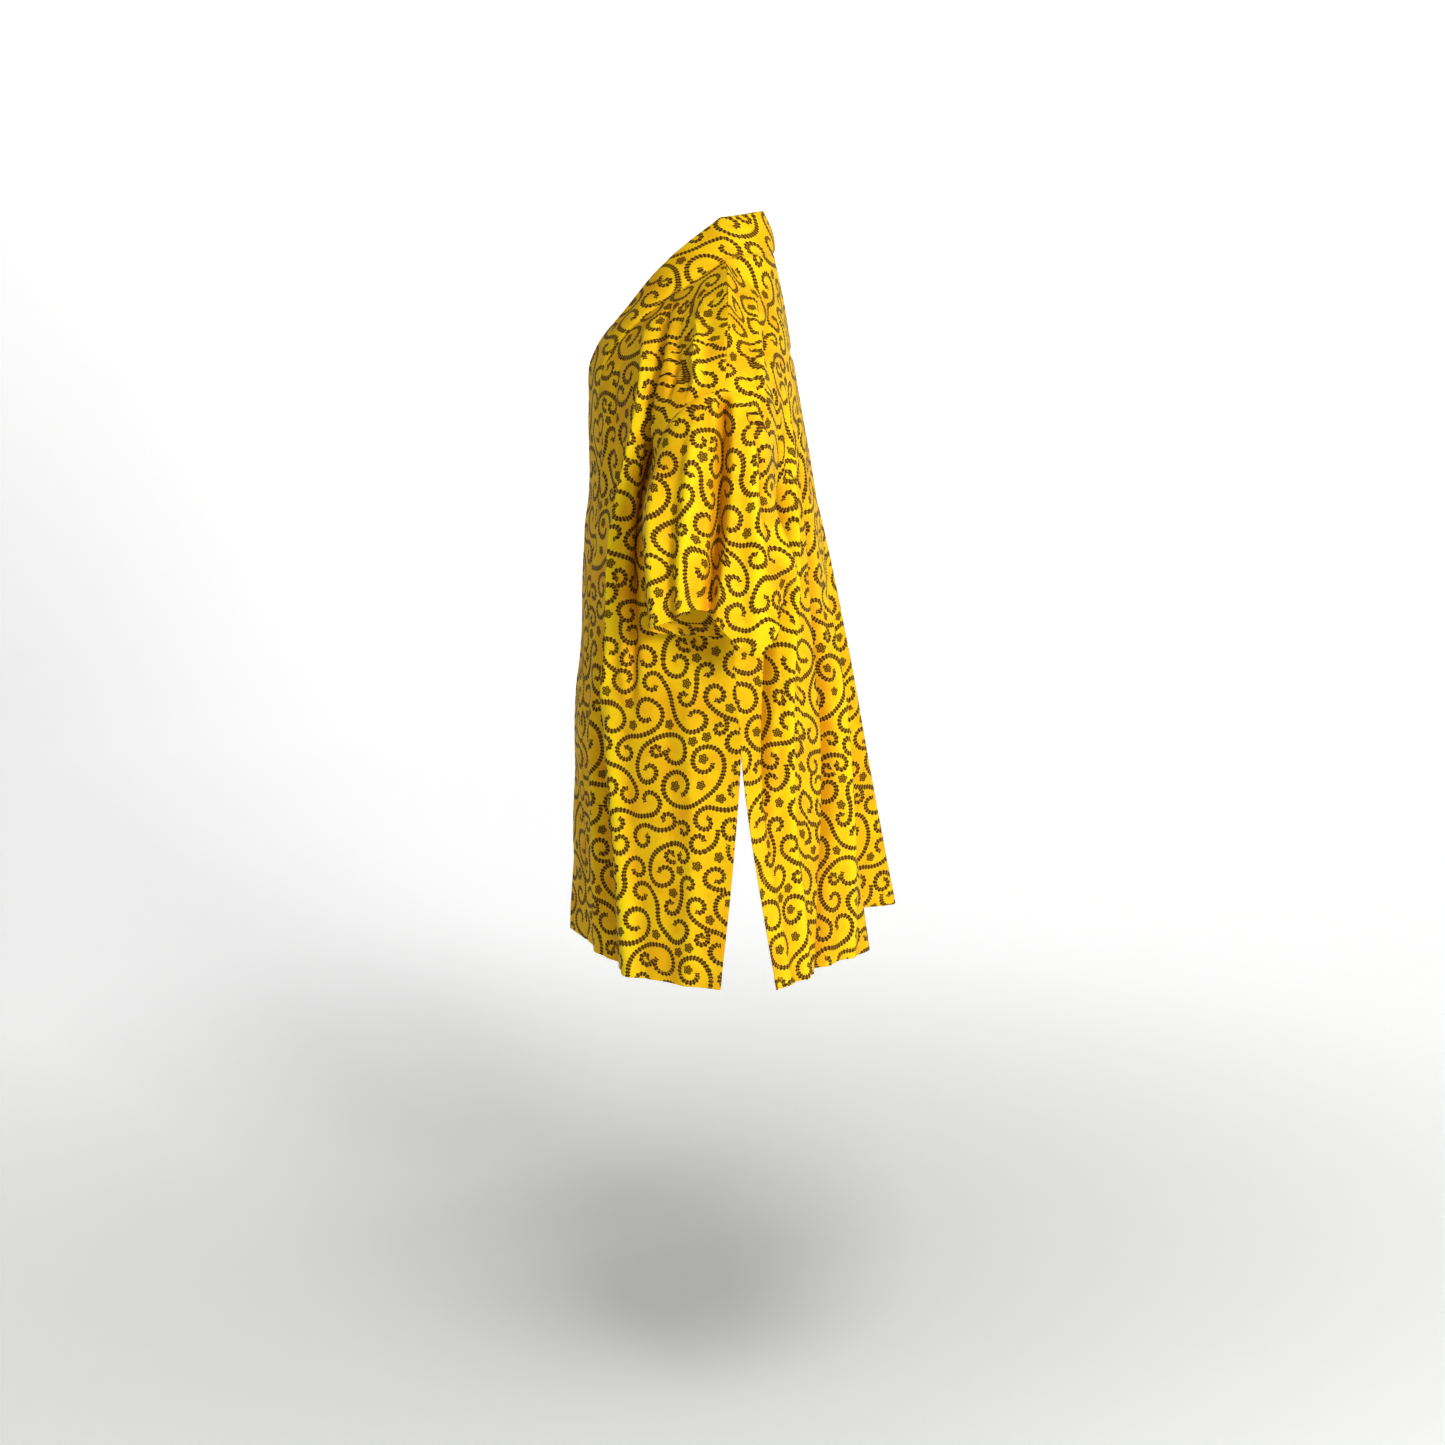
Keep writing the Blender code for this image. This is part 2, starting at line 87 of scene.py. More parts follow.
FRONT_LEFT = (
    # level, z at seam, seam x, y, chest x, y, ridge x, y, hollow x, y
    (-0.893, -0.893, 0.079, -0.184, 0.140, -0.157, 0.202, -0.122, 0.246, -0.060),
    (-0.700, -0.700, 0.085, -0.186, 0.145, -0.157, 0.202, -0.112, 0.238, -0.046),
    (-0.584, -0.584, 0.086, -0.187, 0.146, -0.158, 0.198, -0.116, 0.227, -0.050),
    (-0.460, -0.460, 0.088, -0.178, 0.145, -0.152, 0.194, -0.120, 0.204, -0.060),
    (-0.325, -0.325, 0.088, -0.168, 0.144, -0.146, 0.195, -0.116, 0.184, -0.064),
    (0.20, -0.252, 0.088, -0.160, 0.143, -0.139, 0.196, -0.112, 0.190, -0.074),
    (0.40, -0.165, 0.088, -0.161, 0.142, -0.133, 0.196, -0.106, 0.206, -0.083),
    (0.60, -0.108, 0.089, -0.151, 0.141, -0.124, 0.193, -0.098, 0.218, -0.087),
    (0.80, -0.050, 0.092, -0.102, 0.140, -0.091, 0.190, -0.075, 0.226, -0.062),
)
FRONT_RIGHT = (
    # level, z at seam, seam x, y, chest x, y, ridge x, y, hollow x, y
    (-0.893, -0.893, 0.184, -0.186, 0.212, -0.150, 0.240, -0.108, 0.258, -0.054),
    (-0.700, -0.700, 0.162, -0.188, 0.192, -0.152, 0.220, -0.104, 0.240, -0.044),
    (-0.584, -0.584, 0.143, -0.187, 0.178, -0.154, 0.208, -0.110, 0.229, -0.048),
    (-0.460, -0.460, 0.123, -0.178, 0.165, -0.150, 0.198, -0.114, 0.206, -0.058),
    (-0.325, -0.325, 0.104, -0.168, 0.152, -0.144, 0.195, -0.110, 0.184, -0.060),
    (0.20, -0.252, 0.096, -0.160, 0.146, -0.138, 0.195, -0.108, 0.190, -0.070),
    (0.40, -0.165, 0.091, -0.161, 0.143, -0.133, 0.195, -0.103, 0.206, -0.080),
    (0.60, -0.108, 0.090, -0.151, 0.141, -0.124, 0.193, -0.096, 0.218, -0.084),
    (0.80, -0.050, 0.092, -0.102, 0.140, -0.091, 0.190, -0.074, 0.226, -0.061),
)
FRONT_STATIONS = (0.0, 0.30, 0.58, 0.80, 1.0)
FRONT_CORNER_LIFT = (0.008, 0.031)

BACK = (
    # level, z at middle, middle y, neck line x, y, blade x, y, outer x, y
    (-0.893, -0.893, 0.168, 0.100, 0.172, 0.186, 0.131, 0.232, 0.097),
    (-0.700, -0.700, 0.158, 0.098, 0.151, 0.178, 0.106, 0.222, 0.066),
    (-0.584, -0.584, 0.152, 0.094, 0.142, 0.168, 0.098, 0.210, 0.058),
    (-0.460, -0.460, 0.143, 0.090, 0.131, 0.158, 0.090, 0.190, 0.052),
    (-0.325, -0.325, 0.131, 0.088, 0.118, 0.152, 0.082, 0.178, 0.045),
    (0.20, -0.250, 0.119, 0.088, 0.108, 0.157, 0.080, 0.186, 0.058),
    (0.40, -0.168, 0.104, 0.088, 0.099, 0.165, 0.078, 0.204, 0.066),
    (0.60, -0.098, 0.092, 0.088, 0.088, 0.171, 0.070, 0.218, 0.064),
    (0.80, -0.032, 0.081, 0.086, 0.068, 0.170, 0.048, 0.225, 0.046),
)
BACK_STATIONS = (0.0, 3 / 14, 6 / 14, 10 / 14, 1.0)
BACK_FOLDS = (
    # crest x at the hem, top z, depth at hem, half-width to +X, half-width to -X
    (0.095, -0.420, 0.026, 0.055, 0.050),
    (-0.128, -0.250, 0.086, 0.040, 0.085),
)
BACK_HOLLOW = (0.010, -0.380, 0.016, 0.060)

BAND_LEAN_LEFT = (
    # level, x, y, z
    (-0.893, -0.880, -0.450, 0.030),
    (-0.700, -0.970, -0.240, 0.000),
    (-0.584, -0.975, -0.215, 0.000),
    (-0.460, -0.975, -0.200, 0.000),
    (-0.325, -0.970, -0.240, 0.010),
    (0.20, -0.970, -0.240, 0.020),
    (0.40, -0.960, -0.240, 0.060),
    (0.60, -0.930, -0.320, 0.150),
    (0.80, -0.870, -0.240, 0.400),
    (0.90, -0.640, -0.190, 0.745),
    (1.00, -0.400, -0.120, 0.910),
)
BAND_LEAN_NECK = (
    # share of the way, x, y, z
    (0.0, -0.400, -0.120, 0.910),
    (0.5, -0.240, -0.170, 0.955),
    (1.0, 0.000, -0.270, 0.963),
)

SLEEVE = (
    # along, centre x, y, z, half-width out, tilt (degrees), reach front, back
    (0.00, 0.2265, 0.003, -0.2275, 0.1041, 69.5, 0.085, 0.060),
    (0.25, 0.2500, -0.001, -0.286, 0.0660, 45.0, 0.098, 0.066),
    (0.50, 0.2595, -0.003, -0.336, 0.0500, 24.0, 0.096, 0.081),
    (0.75, 0.2620, -0.003, -0.380, 0.0470, 9.0, 0.093, 0.090),
    (1.00, 0.2620, -0.003, -0.420, 0.0465, 0.0, 0.090, 0.089),
)
SLEEVE_HEM = (
    # degrees, z
    (-180.0, -0.442),
    (-130.0, -0.405),
    (-85.0, -0.366),
    (-55.0, -0.408),
    (-32.0, -0.452),
    (-8.0, -0.428),
    (14.0, -0.394),
    (45.0, -0.410),
    (90.0, -0.424),
    (130.0, -0.436),
    (180.0, -0.442),
)

# ---- folds, drawn on each piece in its own sizes ----------------------------
FOLDS = {
    # piece: its folds, each a row of points: place across, place along (z or
    # climb on a panel), half-width and height in mm (below 0 is a trough)
    "front_left": (
        # from the neck over the shoulder: a soft crest, then a narrow trough
        ((0.10, -0.040, 10, 0), (0.39, -0.043, 13, 5), (0.62, -0.050, 13, 9), (0.81, -0.056, 13, 12), (0.93, -0.063, 12, 10)),
        ((0.14, -0.054, 8, 0), (0.40, -0.061, 9, -4), (0.63, -0.071, 10, -7), (0.81, -0.086, 10, -7), (0.89, -0.110, 9, 0)),
        # the deep groove in front of the sleeve and the sharp ridge beside it
        ((0.10, -0.062, 8, 0), (0.30, -0.072, 10, -11), (0.48, -0.084, 11, -19), (0.63, -0.108, 12, -26), (0.695, -0.150, 13, -32), (0.675, -0.200, 14, -33), (0.640, -0.260, 15, -32), (0.615, -0.330, 17, -28), (0.600, -0.410, 17, -20), (0.590, -0.490, 16, -10), (0.580, -0.560, 14, 0)),
        ((0.12, -0.078, 8, 0), (0.28, -0.088, 10, 5), (0.44, -0.101, 11, 8), (0.565, -0.135, 11, 11), (0.580, -0.170, 11, 11), (0.540, -0.215, 11, 12), (0.490, -0.265, 12, 14), (0.465, -0.330, 12, 16), (0.465, -0.400, 12, 16), (0.435, -0.460, 13, 13), (0.390, -0.530, 14, 8), (0.330, -0.620, 15, 0)),
        # the corner between the front and the side
        ((0.400, -0.470, 16, 0), (0.440, -0.560, 24, 12), (0.475, -0.690, 26, 15), (0.545, -0.810, 27, 15), (0.595, -0.920, 28, 14)),
        ((0.24, -0.400, 16, 0), (0.290, -0.550, 22, -6), (0.310, -0.700, 23, -9), (0.370, -0.830, 24, -10), (0.410, -0.920, 25, -10)),
        ((0.15, -0.450, 16, 0), (0.190, -0.600, 20, 5), (0.210, -0.920, 22, 7)),
        ((0.74, -0.470, 15, 0), (0.740, -0.560, 20, -3), (0.740, -0.740, 22, -2), (0.750, -0.920, 24, -3)),
        # soft drag lines from the underarm and the chest
        ((0.93, -0.345, 9, 0), (0.82, -0.340, 12, -4), (0.68, -0.372, 12, 0)),
        ((0.20, -0.100, 12, 0), (0.22, -0.190, 16, -4), (0.24, -0.290, 16, 0)),
        ((0.10, -0.140, 12, 0), (0.12, -0.250, 16, 3), (0.13, -0.400, 18, 0)),
        ((0.36, -0.160, 12, 0), (0.37, -0.250, 15, -4), (0.34, -0.350, 15, 0)),
        ((0.84, -0.420, 12, 0), (0.83, -0.560, 18, 4), (0.84, -0.760, 20, 4), (0.85, -0.920, 20, 4)),
    ),
    "front_right": (
        ((0.12, -0.042, 10, 0), (0.36, -0.046, 13, 5), (0.60, -0.053, 14, 6), (0.80, -0.058, 14, 5), (0.92, -0.066, 10, 0)),
        ((0.16, -0.058, 8, 0), (0.38, -0.064, 9, -5), (0.60, -0.076, 10, -6), (0.79, -0.092, 10, -6), (0.88, -0.115, 9, 0)),
        ((0.14, -0.068, 8, 0), (0.34, -0.079, 10, -7), (0.54, -0.095, 12, -11), (0.70, -0.125, 13, -13), (0.755, -0.165, 14, -14), (0.715, -0.220, 14, -13), (0.665, -0.290, 14, -11), (0.640, -0.370, 14, -7), (0.630, -0.440, 13, 0)),
        ((0.16, -0.086, 8, 0), (0.36, -0.100, 11, 5), (0.54, -0.128, 12, 7), (0.600, -0.180, 12, 8), (0.575, -0.240, 12, 7), (0.535, -0.310, 12, 7), (0.490, -0.400, 13, 6), (0.430, -0.480, 13, 0)),
        ((0.34, -0.400, 16, 0), (0.420, -0.500, 20, 5), (0.455, -0.620, 24, 8), (0.480, -0.780, 26, 9), (0.500, -0.920, 26, 10)),
        ((0.24, -0.440, 16, 0), (0.300, -0.580, 22, -6), (0.325, -0.740, 24, -8), (0.345, -0.920, 24, -9)),
        ((0.13, -0.500, 16, 0), (0.160, -0.660, 20, 5), (0.180, -0.920, 22, 6)),
        ((0.67, -0.500, 16, 0), (0.680, -0.680, 24, -5), (0.690, -0.920, 26, -7)),
        ((0.92, -0.350, 9, 0), (0.80, -0.345, 12, -4), (0.66, -0.380, 12, 0)),
        ((0.24, -0.110, 12, 0), (0.25, -0.200, 16, -4), (0.27, -0.310, 16, 0)),
        ((0.82, -0.430, 12, 0), (0.81, -0.600, 18, 4), (0.83, -0.920, 22, 6)),
    ),
    "back_panel": (
        # from the neck over the shoulder, then down behind the sleeve
        ((0.400, -0.050, 10, 0), (0.290, -0.060, 13, 6), (0.205, -0.070, 13, 9), (0.115, -0.078, 13, 12), (0.046, -0.090, 12, 10)),
        ((0.380, -0.074, 9, 0), (0.270, -0.090, 11, -8), (0.195, -0.112, 12, -12), (0.163, -0.145, 13, -17), (0.174, -0.221, 13, -24), (0.186, -0.309, 13, -27), (0.174, -0.389, 14, -29), (0.143, -0.454, 14, -30), (0.122, -0.531, 14, -28), (0.108, -0.590, 14, -24), (0.100, -0.650, 14, -15), (0.098, -0.720, 14, 0)),
        ((0.262, -0.140, 12, 0), (0.234, -0.240, 12, 12), (0.232, -0.320, 12, 15), (0.218, -0.400, 13, 16), (0.186, -0.480, 13, 17), (0.168, -0.580, 14, 16), (0.160, -0.690, 16, 14), (0.158, -0.793, 18, 12), (0.135, -0.920, 19, 10)),
        ((0.345, -0.190, 14, 0), (0.337, -0.330, 17, -17), (0.330, -0.467, 19, -26), (0.327, -0.613, 21, -33), (0.302, -0.720, 21, -34), (0.272, -0.780, 21, -32), (0.240, -0.850, 21, -29), (0.215, -0.920, 21, -26)),
        ((0.415, -0.340, 15, 0), (0.400, -0.488, 17, 9), (0.370, -0.634, 18, 11), (0.345, -0.754, 18, 11), (0.310, -0.920, 19, 9)),
        ((0.060, -0.560, 12, 0), (0.056, -0.700, 17, 4), (0.055, -0.920, 18, 5)),
        ((0.455, -0.160, 16, 0), (0.455, -0.350, 22, -4), (0.440, -0.600, 22, -6), (0.420, -0.920, 24, -8)),
        ((0.530, -0.220, 18, 0), (0.530, -0.420, 24, 5), (0.525, -0.640, 24, 6), (0.520, -0.920, 24, 7)),
        ((0.610, -0.120, 16, 0), (0.605, -0.300, 22, -5), (0.610, -0.500, 22, -7), (0.615, -0.920, 26, -8)),
        ((0.700, -0.260, 16, 0), (0.705, -0.420, 22, 6), (0.712, -0.600, 22, 8), (0.720, -0.920, 24, 9)),
        ((0.770, -0.210, 14, 0), (0.778, -0.420, 18, -7), (0.790, -0.640, 20, -9), (0.800, -0.920, 22, -10)),
        ((0.610, -0.048, 10, 0), (0.720, -0.058, 13, 5), (0.800, -0.068, 14, 6), (0.890, -0.080, 14, 6), (0.950, -0.096, 10, 0)),
        ((0.630, -0.076, 9, 0), (0.740, -0.094, 11, -6), (0.815, -0.118, 12, -8), (0.856, -0.155, 13, -9), (0.862, -0.230, 14, -9), (0.842, -0.320, 15, -10), (0.846, -0.420, 15, -9), (0.866, -0.520, 15, -7), (0.885, -0.620, 13, 0)),
        ((0.900, -0.520, 14, 0), (0.895, -0.700, 20, 6), (0.888, -0.920, 22, 8)),
        # slack across the upper back
        ((0.360, -0.130, 10, 0), (0.430, -0.142, 13, -2), (0.510, -0.146, 13, -3), (0.600, -0.138, 13, -2), (0.660, -0.124, 10, 0)),
    ),
    # place round the arm (0 outward, 0.25 forward, 0.5 the underarm), and
    # along from the armhole (0) to the hem (1)
    "sleeve_left": (
        ((0.000, -0.04, 13, -14), (0.000, 0.05, 14, -22), (0.000, 0.15, 15, -27), (0.003, 0.35, 16, -30), (0.012, 0.60, 16, -30), (0.022, 0.85, 17, -24), (0.026, 1.05, 18, -14)),
        ((0.066, 0.03, 14, 0), (0.066, 0.20, 18, 9), (0.072, 0.45, 20, 11), (0.084, 0.76, 20, 11), (0.088, 1.05, 20, 8)),
        ((0.925, 0.03, 14, 0), (0.905, 0.20, 18, 9), (0.903, 0.45, 20, 11), (0.908, 0.75, 20, 10), (0.914, 1.05, 20, 6)),
        ((0.935, -0.02, 9, -5), (0.900, 0.05, 10, -9), (0.872, 0.13, 10, -10), (0.860, 0.26, 10, -7), (0.856, 0.42, 10, 0)),
        ((0.112, 0.15, 11, 0), (0.110, 0.45, 12, -3), (0.112, 0.80, 14, -4), (0.114, 1.05, 14, -5)),
        ((0.165, 0.06, 16, 0), (0.164, 0.35, 22, 10), (0.166, 0.80, 22, 11), (0.168, 1.05, 22, 9)),
        ((0.840, 0.30, 12, 0), (0.845, 0.60, 16, -6), (0.850, 0.90, 16, -8), (0.850, 1.05, 16, -8)),
        ((0.780, 0.15, 12, 0), (0.778, 0.50, 14, 4), (0.776, 1.05, 16, 5)),
        ((0.230, 0.20, 12, 0), (0.235, 0.60, 16, -5), (0.238, 1.05, 16, -6)),
        ((0.330, 0.20, 14, 0), (0.335, 0.60, 18, -5), (0.340, 1.05, 18, -6)),
        ((0.640, 0.20, 14, 0), (0.640, 0.60, 18, -5), (0.640, 1.05, 18, -6)),
    ),
    "sleeve_right": (
        ((0.020, 0.00, 13, 0), (0.016, 0.15, 15, -9), (0.012, 0.40, 17, -12), (0.010, 0.70, 18, -11), (0.010, 1.05, 18, -9)),
        ((0.080, 0.05, 14, 0), (0.078, 0.30, 17, 6), (0.076, 0.70, 19, 7), (0.075, 1.05, 20, 7)),
        ((0.930, 0.05, 14, 0), (0.925, 0.30, 17, 6), (0.925, 0.65, 18, 7), (0.930, 1.05, 18, 5)),
        ((0.140, 0.18, 12, 0), (0.136, 0.50, 16, -6), (0.134, 0.85, 18, -7), (0.134, 1.05, 18, -7)),
        ((0.195, 0.15, 12, 0), (0.192, 0.50, 14, 5), (0.190, 1.05, 16, 5)),
        ((0.860, 0.20, 12, 0), (0.862, 0.55, 16, -7), (0.865, 1.05, 18, -8)),
        ((0.800, 0.15, 12, 0), (0.796, 0.50, 14, 5), (0.795, 1.05, 16, 4)),
        ((0.345, 0.15, 14, 0), (0.345, 0.60, 18, -4), (0.345, 1.05, 18, -6)),
        ((0.625, 0.25, 14, 0), (0.630, 0.60, 18, -6), (0.635, 1.05, 18, -6)),
    ),
    # place from the seam to the fold, and along from the left hem (0) over the
    # nape (0.5) to the right hem (1)
    "neckband": (
        ((1.00, 0.300, 30, 0), (0.90, 0.325, 34, 2.5), (0.95, 0.350, 30, 0)),
        ((0.95, 0.385, 24, 0), (0.80, 0.400, 26, -2.0), (0.90, 0.420, 24, 0)),
        ((1.00, 0.180, 30, 0), (0.80, 0.205, 36, -2.5), (0.95, 0.235, 30, 0)),
        ((1.00, 0.060, 30, 0), (0.85, 0.085, 36, 3.0), (0.95, 0.120, 30, 0)),
        ((1.00, 0.590, 26, 0), (0.80, 0.605, 28, -2.0), (0.95, 0.625, 26, 0)),
        ((1.00, 0.660, 30, 0), (0.90, 0.690, 34, 2.5), (0.95, 0.720, 30, 0)),
        ((1.00, 0.790, 30, 0), (0.80, 0.820, 36, -3.0), (0.95, 0.850, 30, 0)),
        ((1.00, 0.900, 30, 0), (0.85, 0.925, 34, 2.5), (0.95, 0.955, 30, 0)),
    ),
}

# ---- the print: scrolls in a repeat of WIDE x HIGH mm -----------------------
WIDE, HIGH = 216.0, 276.0
STROKES = (
    # middle x, y, heading (degrees), then for each half: lead radius, lead
    # turn (degrees), side, curl's outer radius, inner radius, turn (degrees)
    (65.5, 125.2, 48.3, 50, 47, -1, 22.8, 7.4, 314, 35, 71, +1, 15.7, 6.0, 323),
    (49.3, 136.2, 4.5, 47, 38, +1, 22.3, 8.1, 359, 29, 58, +1, 13.5, 5.5, 332),
    (97.4, 184.1, 95.2, 54, 34, +1, 15.8, 4.9, 319, 42, 53, +1, 19.3, 6.2, 295),
    (170.8, 82.0, 61.1, 44, 50, +1, 23.4, 8.7, 347, 58, 61, -1, 25.3, 10.5, 340),
    (22.6, 91.7, 171.6, 50, 33, -1, 17.7, 5.1, 304, 47, 50, -1, 15.9, 4.8, 309),
    (177.0, 170.3, 354.2, 45, 27, -1, 21.0, 8.8, 339, 43, 51, -1, 14.9, 5.1, 338),
    (0.2, 176.7, 4.0, 35, 38, -1, 20.1, 7.6, 296, 39, 47, -1, 23.4, 8.6, 329),
    (49.4, 33.7, 341.2, 45, 43, +1, 19.2, 6.0, 282, 36, 29, +1, 15.6, 5.6, 334),
    (169.4, 52.8, 166.8, 21, 64, +1, 14.1, 5.3, 296, 37, 67, +1, 16.0, 6.2, 290),
    (47.5, 220.1, 105.7, 35, 32, -1, 16.3, 5.9, 333, 24, 67, -1, 18.4, 7.1, 350),
    (83.8, 19.1, 341.0, 31, 44, +1, 12.2, 3.6, 295, 23, 34, +1, 15.8, 5.4, 319),
    (131.3, 218.0, 280.0, 41, 41, -1, 11.3, 3.5, 296, 22, 36, -1, 10.5, 4.3, 284),
    (204.5, 37.7, 320.2, 21, 49, +1, 13.5, 4.3, 307, 14, 58, +1, 13.8, 5.0, 342),
    (111.3, 1.1, 197.4, 38, 81, +1, 19.5, 5.9, 349, 29, 48, -1, 11.0, 3.6, 310),
)
SPRIGS = (
    # start x, y, heading (degrees), lead radius, lead turn (degrees), side,
    # curl's outer radius, inner radius, turn (degrees)
    (94.1, 121.2, 249.5, 13, 60, -1, 8.1, 2.6, 316),
    (24.3, 11.7, 244.8, 40, 26, +1, 16.6, 5.4, 356),
    (175.4, 26.2, 274.5, 30, 63, -1, 13.4, 5.2, 294),
    (14.4, 217.4, 159.3, 49, 36, -1, 16.3, 5.6, 326),
    (191.6, 227.2, 201.6, 22, 51, -1, 15.6, 5.9, 355),
    (204.6, 114.0, 141.3, 14, 28, +1, 9.2, 2.9, 337),
    (13.7, 54.2, 356.8, 16, 28, +1, 10.5, 4.3, 326),
    (191.5, 10.1, 251.4, 18, 32, +1, 14.0, 4.7, 330),
    (121.0, 254.5, 198.2, 20, 24, -1, 8.7, 2.5, 289),
    (167.6, 170.7, 304.8, 20, 33, -1, 8.9, 2.7, 353),
    (29.2, 247.8, 205.9, 18, 32, +1, 9.8, 4.0, 306),
    (117.4, 28.9, 35.9, 16, 34, -1, 10.0, 3.0, 298),
)
ROSETTES = (
    # x, y
    (149.5, 82.5),
    (152.5, 254.5),
    (37.5, 177.5),
    (5.5, 17.5),
    (111.5, 76.5),
    (178.5, 268.5),
    (177.5, 66.5),
    (44.5, 149.5),
    (197.5, 209.5),
    (6.5, 82.5),
    (172.5, 184.5),
    (118.5, 211.5),
    (2.5, 189.5),
    (147.5, 117.5),
    (95.5, 154.5),
    (147.5, 145.5),
    (131.5, 137.5),
    (128.5, 244.5),
)


# ---- curves through the tables ----------------------------------------------
def through(knots, values, at):
    """Smooth curve through values at the knots, read at the places given."""
    knots = np.asarray(knots, float)
    values = np.asarray(values, float)
    at = np.clip(np.atleast_1d(np.asarray(at, float)), knots[0], knots[-1])
    step = np.diff(knots)
    shape = (-1,) + (1,) * (values.ndim - 1)
    slope = np.diff(values, axis=0) / step.reshape(shape)
    bend = np.empty_like(values)
    bend[0], bend[-1] = slope[0], slope[-1]
    if len(knots) > 2:
        before, after = step[:-1].reshape(shape), step[1:].reshape(shape)
        bend[1:-1] = (after * slope[:-1] + before * slope[1:]) / (before + after)
    k = np.clip(np.searchsorted(knots, at, side="right") - 1, 0, len(step) - 1)
    h = step[k].reshape(shape)
    t = ((at - knots[k]) / step[k]).reshape(shape)
    return (
        (2 * t**3 - 3 * t**2 + 1) * values[k]
        + (t**3 - 2 * t**2 + t) * h * bend[k]
        + (-2 * t**3 + 3 * t**2) * values[k + 1]
        + (t**3 - t**2) * h * bend[k + 1]
    )


def rise(t):
    """0 to 1, smooth at both ends."""
    t = np.clip(t, 0.0, 1.0)
    return t * t * (3 - 2 * t)


def bump(distance, left, right):
    """A soft crest: 1 at its line, 0 at its two half-widths."""
    width = np.where(distance > 0, left, right)
    t = np.clip(np.abs(distance) / width, 0.0, 1.0)
    return 0.5 + 0.5 * np.cos(math.pi * t)


def spaced(length, step, first=(), last=()):
    """Places from 0 to length about a step apart, with closer ones at the ends."""
    start = first[-1] if len(first) else 0.0
    stop = length - (last[-1] if len(last) else 0.0)
    count = max(2, int(round((stop - start) / step)))
    middle = np.linspace(start, stop, count + 1)
    return np.unique(
        np.round(
            np.concatenate(
                ([0.0], first, middle, length - np.array(last, float), [length])
            ),
            7,
        )
    )


# ---- shared seam lines ------------------------------------------------------
def shoulder_line(share):
    table = np.array(SHOULDER)
    return through(table[:, 0], table[:, 1:], share)


def armhole(climb, front):
    """The armhole from the underarm (0) to its top (1), by the front or back."""
    angle = math.pi * (1.0 - np.asarray(climb, float))
    top, low = np.array(ARMHOLE_TOP), np.array(UNDERARM)
    middle, half = (top + low) / 2, (top - low) / 2
    reach = -ARMHOLE_FRONT if front else ARMHOLE_BACK
    out = middle + np.outer(np.cos(angle), half)
    out[:, 1] += reach * np.sin(angle)
    return out


def armhole_way():
    climb = np.array(ARMHOLE_TOP) - np.array(UNDERARM)
    climb /= np.linalg.norm(climb)
    return climb, np.array((climb[2], 0.0, -climb[0]))


def armhole_normals(climbs, front):
    """Which way the cloth faces along the armhole."""
    climb, across = armhole_way()
    angle = math.pi * (1 - np.asarray(climbs, float))[:, None]
    n = climb * np.cos(angle) + np.array((0, -1 if front else 1, 0)) * np.sin(angle)
    n = n + across * 0.75 * ((1 - np.cos(angle)) / 2) ** 2
    return n / np.linalg.norm(n, axis=1)[:, None]


def side_line(z, front):
    table = np.array(SIDE)
    xy = through(table[:, 0], table[:, 1:], z)
    open_ = np.clip((VENT_TOP_Z - z) / (VENT_TOP_Z - HEM_Z), 0.0, 1.0) ** 1.3
    swing = -VENT_FRONT if front else VENT_BACK
    return np.column_stack((xy[:, 0], xy[:, 1] + swing * open_, z))


def neck_line(share):
    """Back neckline from the left neck point (0) over the nape to the right."""
    angle = math.pi * np.asarray(share, float)
    x = NECK_POINT[0] * np.cos(angle)
    y = NECK_POINT[1] + (NAPE[1] - NECK_POINT[1]) * np.sin(angle) ** 0.9
    z = NECK_POINT[2] + (NAPE[2] - NECK_POINT[2]) * np.sin(angle)
    return np.column_stack((x, y, z))


def place(level):
    return level if level < 0 else UNDERARM_Z + UPPER_SPAN * level


def edge_line(at, front):
    out = side_line(np.minimum(at, UNDERARM_Z), front)
    above = at > UNDERARM_Z + 1e-9
    if above.any():
        out[above] = armhole((at[above] - UNDERARM_Z) / UPPER_SPAN, front)
    return out


# ---- where the rows and columns of each piece lie ---------------------------
NEAR_HEM = (0.0014, 0.004, 0.008, 0.0116, 0.0128, 0.0140, 0.0150, 0.0185)
NEAR_SEAM = (0.0006, 0.0014, 0.0026, 0.0045)
LOW = HEM_Z + spaced(UNDERARM_Z - HEM_Z, 0.0043, NEAR_HEM)
HIGH_ROWS = UNDERARM_Z + spaced(UPPER_SPAN, 0.0040, (), NEAR_SEAM)
ROWS = np.concatenate((LOW, HIGH_ROWS[1:]))
CLIMBS = (HIGH_ROWS - UNDERARM_Z) / UPPER_SPAN
ACROSS = 0.255  # mean width of a front panel
FRONT_COLS = spaced(ACROSS, 0.0038, NEAR_SEAM, (0.0012, 0.0030, 0.0060)) / ACROSS
NECK_SHARES = np.linspace(0, 0.5, 27)
BACK_HALF = np.concatenate(
    ((1 - FRONT_COLS[::-1]) * 10 / 14, 10 / 14 + NECK_SHARES[1:] * 8 / 14)
)
SLEEVE_ROWS = spaced(1.0, 0.0125, (0.002, 0.005, 0.010, 0.018), (0.0045, 0.013, 0.027, 0.040, 0.044, 0.048, 0.052, 0.062))
BAND_COLS = spaced(1.0, 0.060, (0.012, 0.026, 0.045, 0.08), (0.006, 0.02, 0.045))


